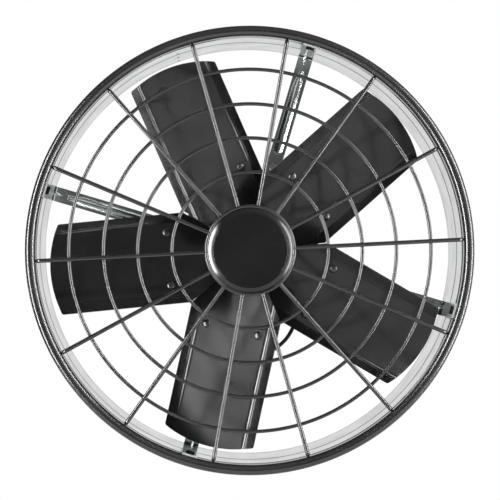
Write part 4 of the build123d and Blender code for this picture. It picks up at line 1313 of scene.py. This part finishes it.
# Hub washer and nut: they clamp the hub against the collar of the motor's shaft.
washer_radius = 12.0
washer_sheet = 2.0
hub_nut_flats = 18.0
hub_nut_height = 8.0
washer_profile = rounded(
    [
        (hub_bore, hub_front - washer_sheet),
        (washer_radius, hub_front - washer_sheet),
        (washer_radius, hub_front),
        (hub_bore, hub_front),
    ],
    0.3,
)
washer = shell("plain_washer", [lathe(washer_profile, 96)], "fan_wheel", fastener_zinc)
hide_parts("hub_washer")
nut_form = hex_form(hub_nut_flats, hub_nut_height, hub_bore, True)
nut_form = placed(nut_form, (0, hub_front - washer_sheet, 0), (1, 0, 0), (0, -1, 0))
hub_nut = shell("shaft_nut", [(nut_form, True, True)], "fan_wheel", fastener_zinc, 25)
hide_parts("hub_nut")

# Wire guard: fourteen round steel spokes welded across four rings and butted on a middle
# ring, dipped in black enamel. Each spoke's tail turns back inside the rim.
spoke_count = 14
first_spoke = 2.9
spoke_wire = 2.3
ring_wire = 2.0
ring_radii = (87.0, 125.0, 163.0, 201.5)
hub_ring = 49.0
guard_inset = 2.5
spoke_depth = -(rim_leg + rim_bead) + guard_inset
weld_bite = 0.4
spoke_bend = 4.0
bend_steps = 16
tail_end = -1.5


def ring(radius, depth, wire, steps=288, sides=16):
    """Wire ring: a circle of the wire's radius carried round the axis."""
    turn = np.linspace(0, 2 * pi, sides, endpoint=False)
    profile = np.stack([radius + wire * np.cos(turn), depth + wire * np.sin(turn)], axis=1)
    return lathe(profile, steps)


ring_depth = spoke_depth + spoke_wire + ring_wire - weld_bite
spoke_root = hub_ring + ring_wire - weld_bite
spoke_tail = rim_inner - spoke_wire - seat_gap
guard_grids = [ring(hub_ring, spoke_depth, ring_wire)]
guard_grids += [ring(radius, ring_depth, ring_wire) for radius in ring_radii]
spoke_corners = [(spoke_root, spoke_depth), (spoke_tail, spoke_depth), (spoke_tail, tail_end)]
# An end gives one point for every step of its corner, and only one of them is kept
spoke_line = rounded(spoke_corners, spoke_bend, bend_steps, closed=False)
spoke_line = spoke_line[bend_steps - 1 : 1 - bend_steps]
for k in range(spoke_count):
    angle = first_spoke + k * 360 / spoke_count
    line = spoke_line[:, :1] * radial(angle) + spoke_line[:, 1:] * np.array([0, 1, 0])
    guard_grids.append(tube(line, tangent(angle), spoke_wire))
guard = shell("round_wire_guard", guard_grids, "frame", gloss_black)
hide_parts("wire_guard")

# Guard disc: a moulded black disc, bare, with a bevelled edge round a shallow recess. Its
# skirt snaps into the guard's middle ring.
disc_radius = hub_ring - ring_wire - seat_gap
disc_front = -15.4
disc_recess = 0.5
disc_edge = disc_front - disc_recess
disc_bevel = 4.9
disc_rise = 2.5
disc_ledge = 0.8
disc_wall = 1.8
disc_lip = 0.8
skirt_rear = spoke_depth + ring_wire + disc_lip
bevel_inner = disc_radius - disc_bevel
disc_corners = [
    (0, disc_front),
    (bevel_inner - disc_ledge, disc_front),
    (bevel_inner - disc_ledge, disc_edge),
    (bevel_inner, disc_edge),
    (disc_radius, disc_edge + disc_rise),
    (disc_radius, skirt_rear - disc_lip / 2),
    (disc_radius + disc_lip, skirt_rear),
    (disc_radius + disc_lip, skirt_rear + disc_lip),
    (disc_radius - disc_wall, skirt_rear + disc_lip),
    (disc_radius - disc_wall, disc_edge + disc_rise + disc_wall),
    (bevel_inner - disc_ledge, disc_front + disc_wall),
    (0, disc_front + disc_wall),
]
disc_rounding = [0, 0.15, 0.15, 0.3, 0.5, 0.2, 0.2, 0.2, 0.2, 0.8, 0.8, 0]
disc_plastic = enamel("disc_plastic", (0.015, 0.015, 0.016), 0.15, 0.6, 1.5, 0.000006, 1500.0)
disc_profile = rounded(disc_corners, disc_rounding)
disc = shell("bevelled_disc", [lathe(disc_profile, 240)], "frame", disc_plastic, 20)
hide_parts("guard_disc")
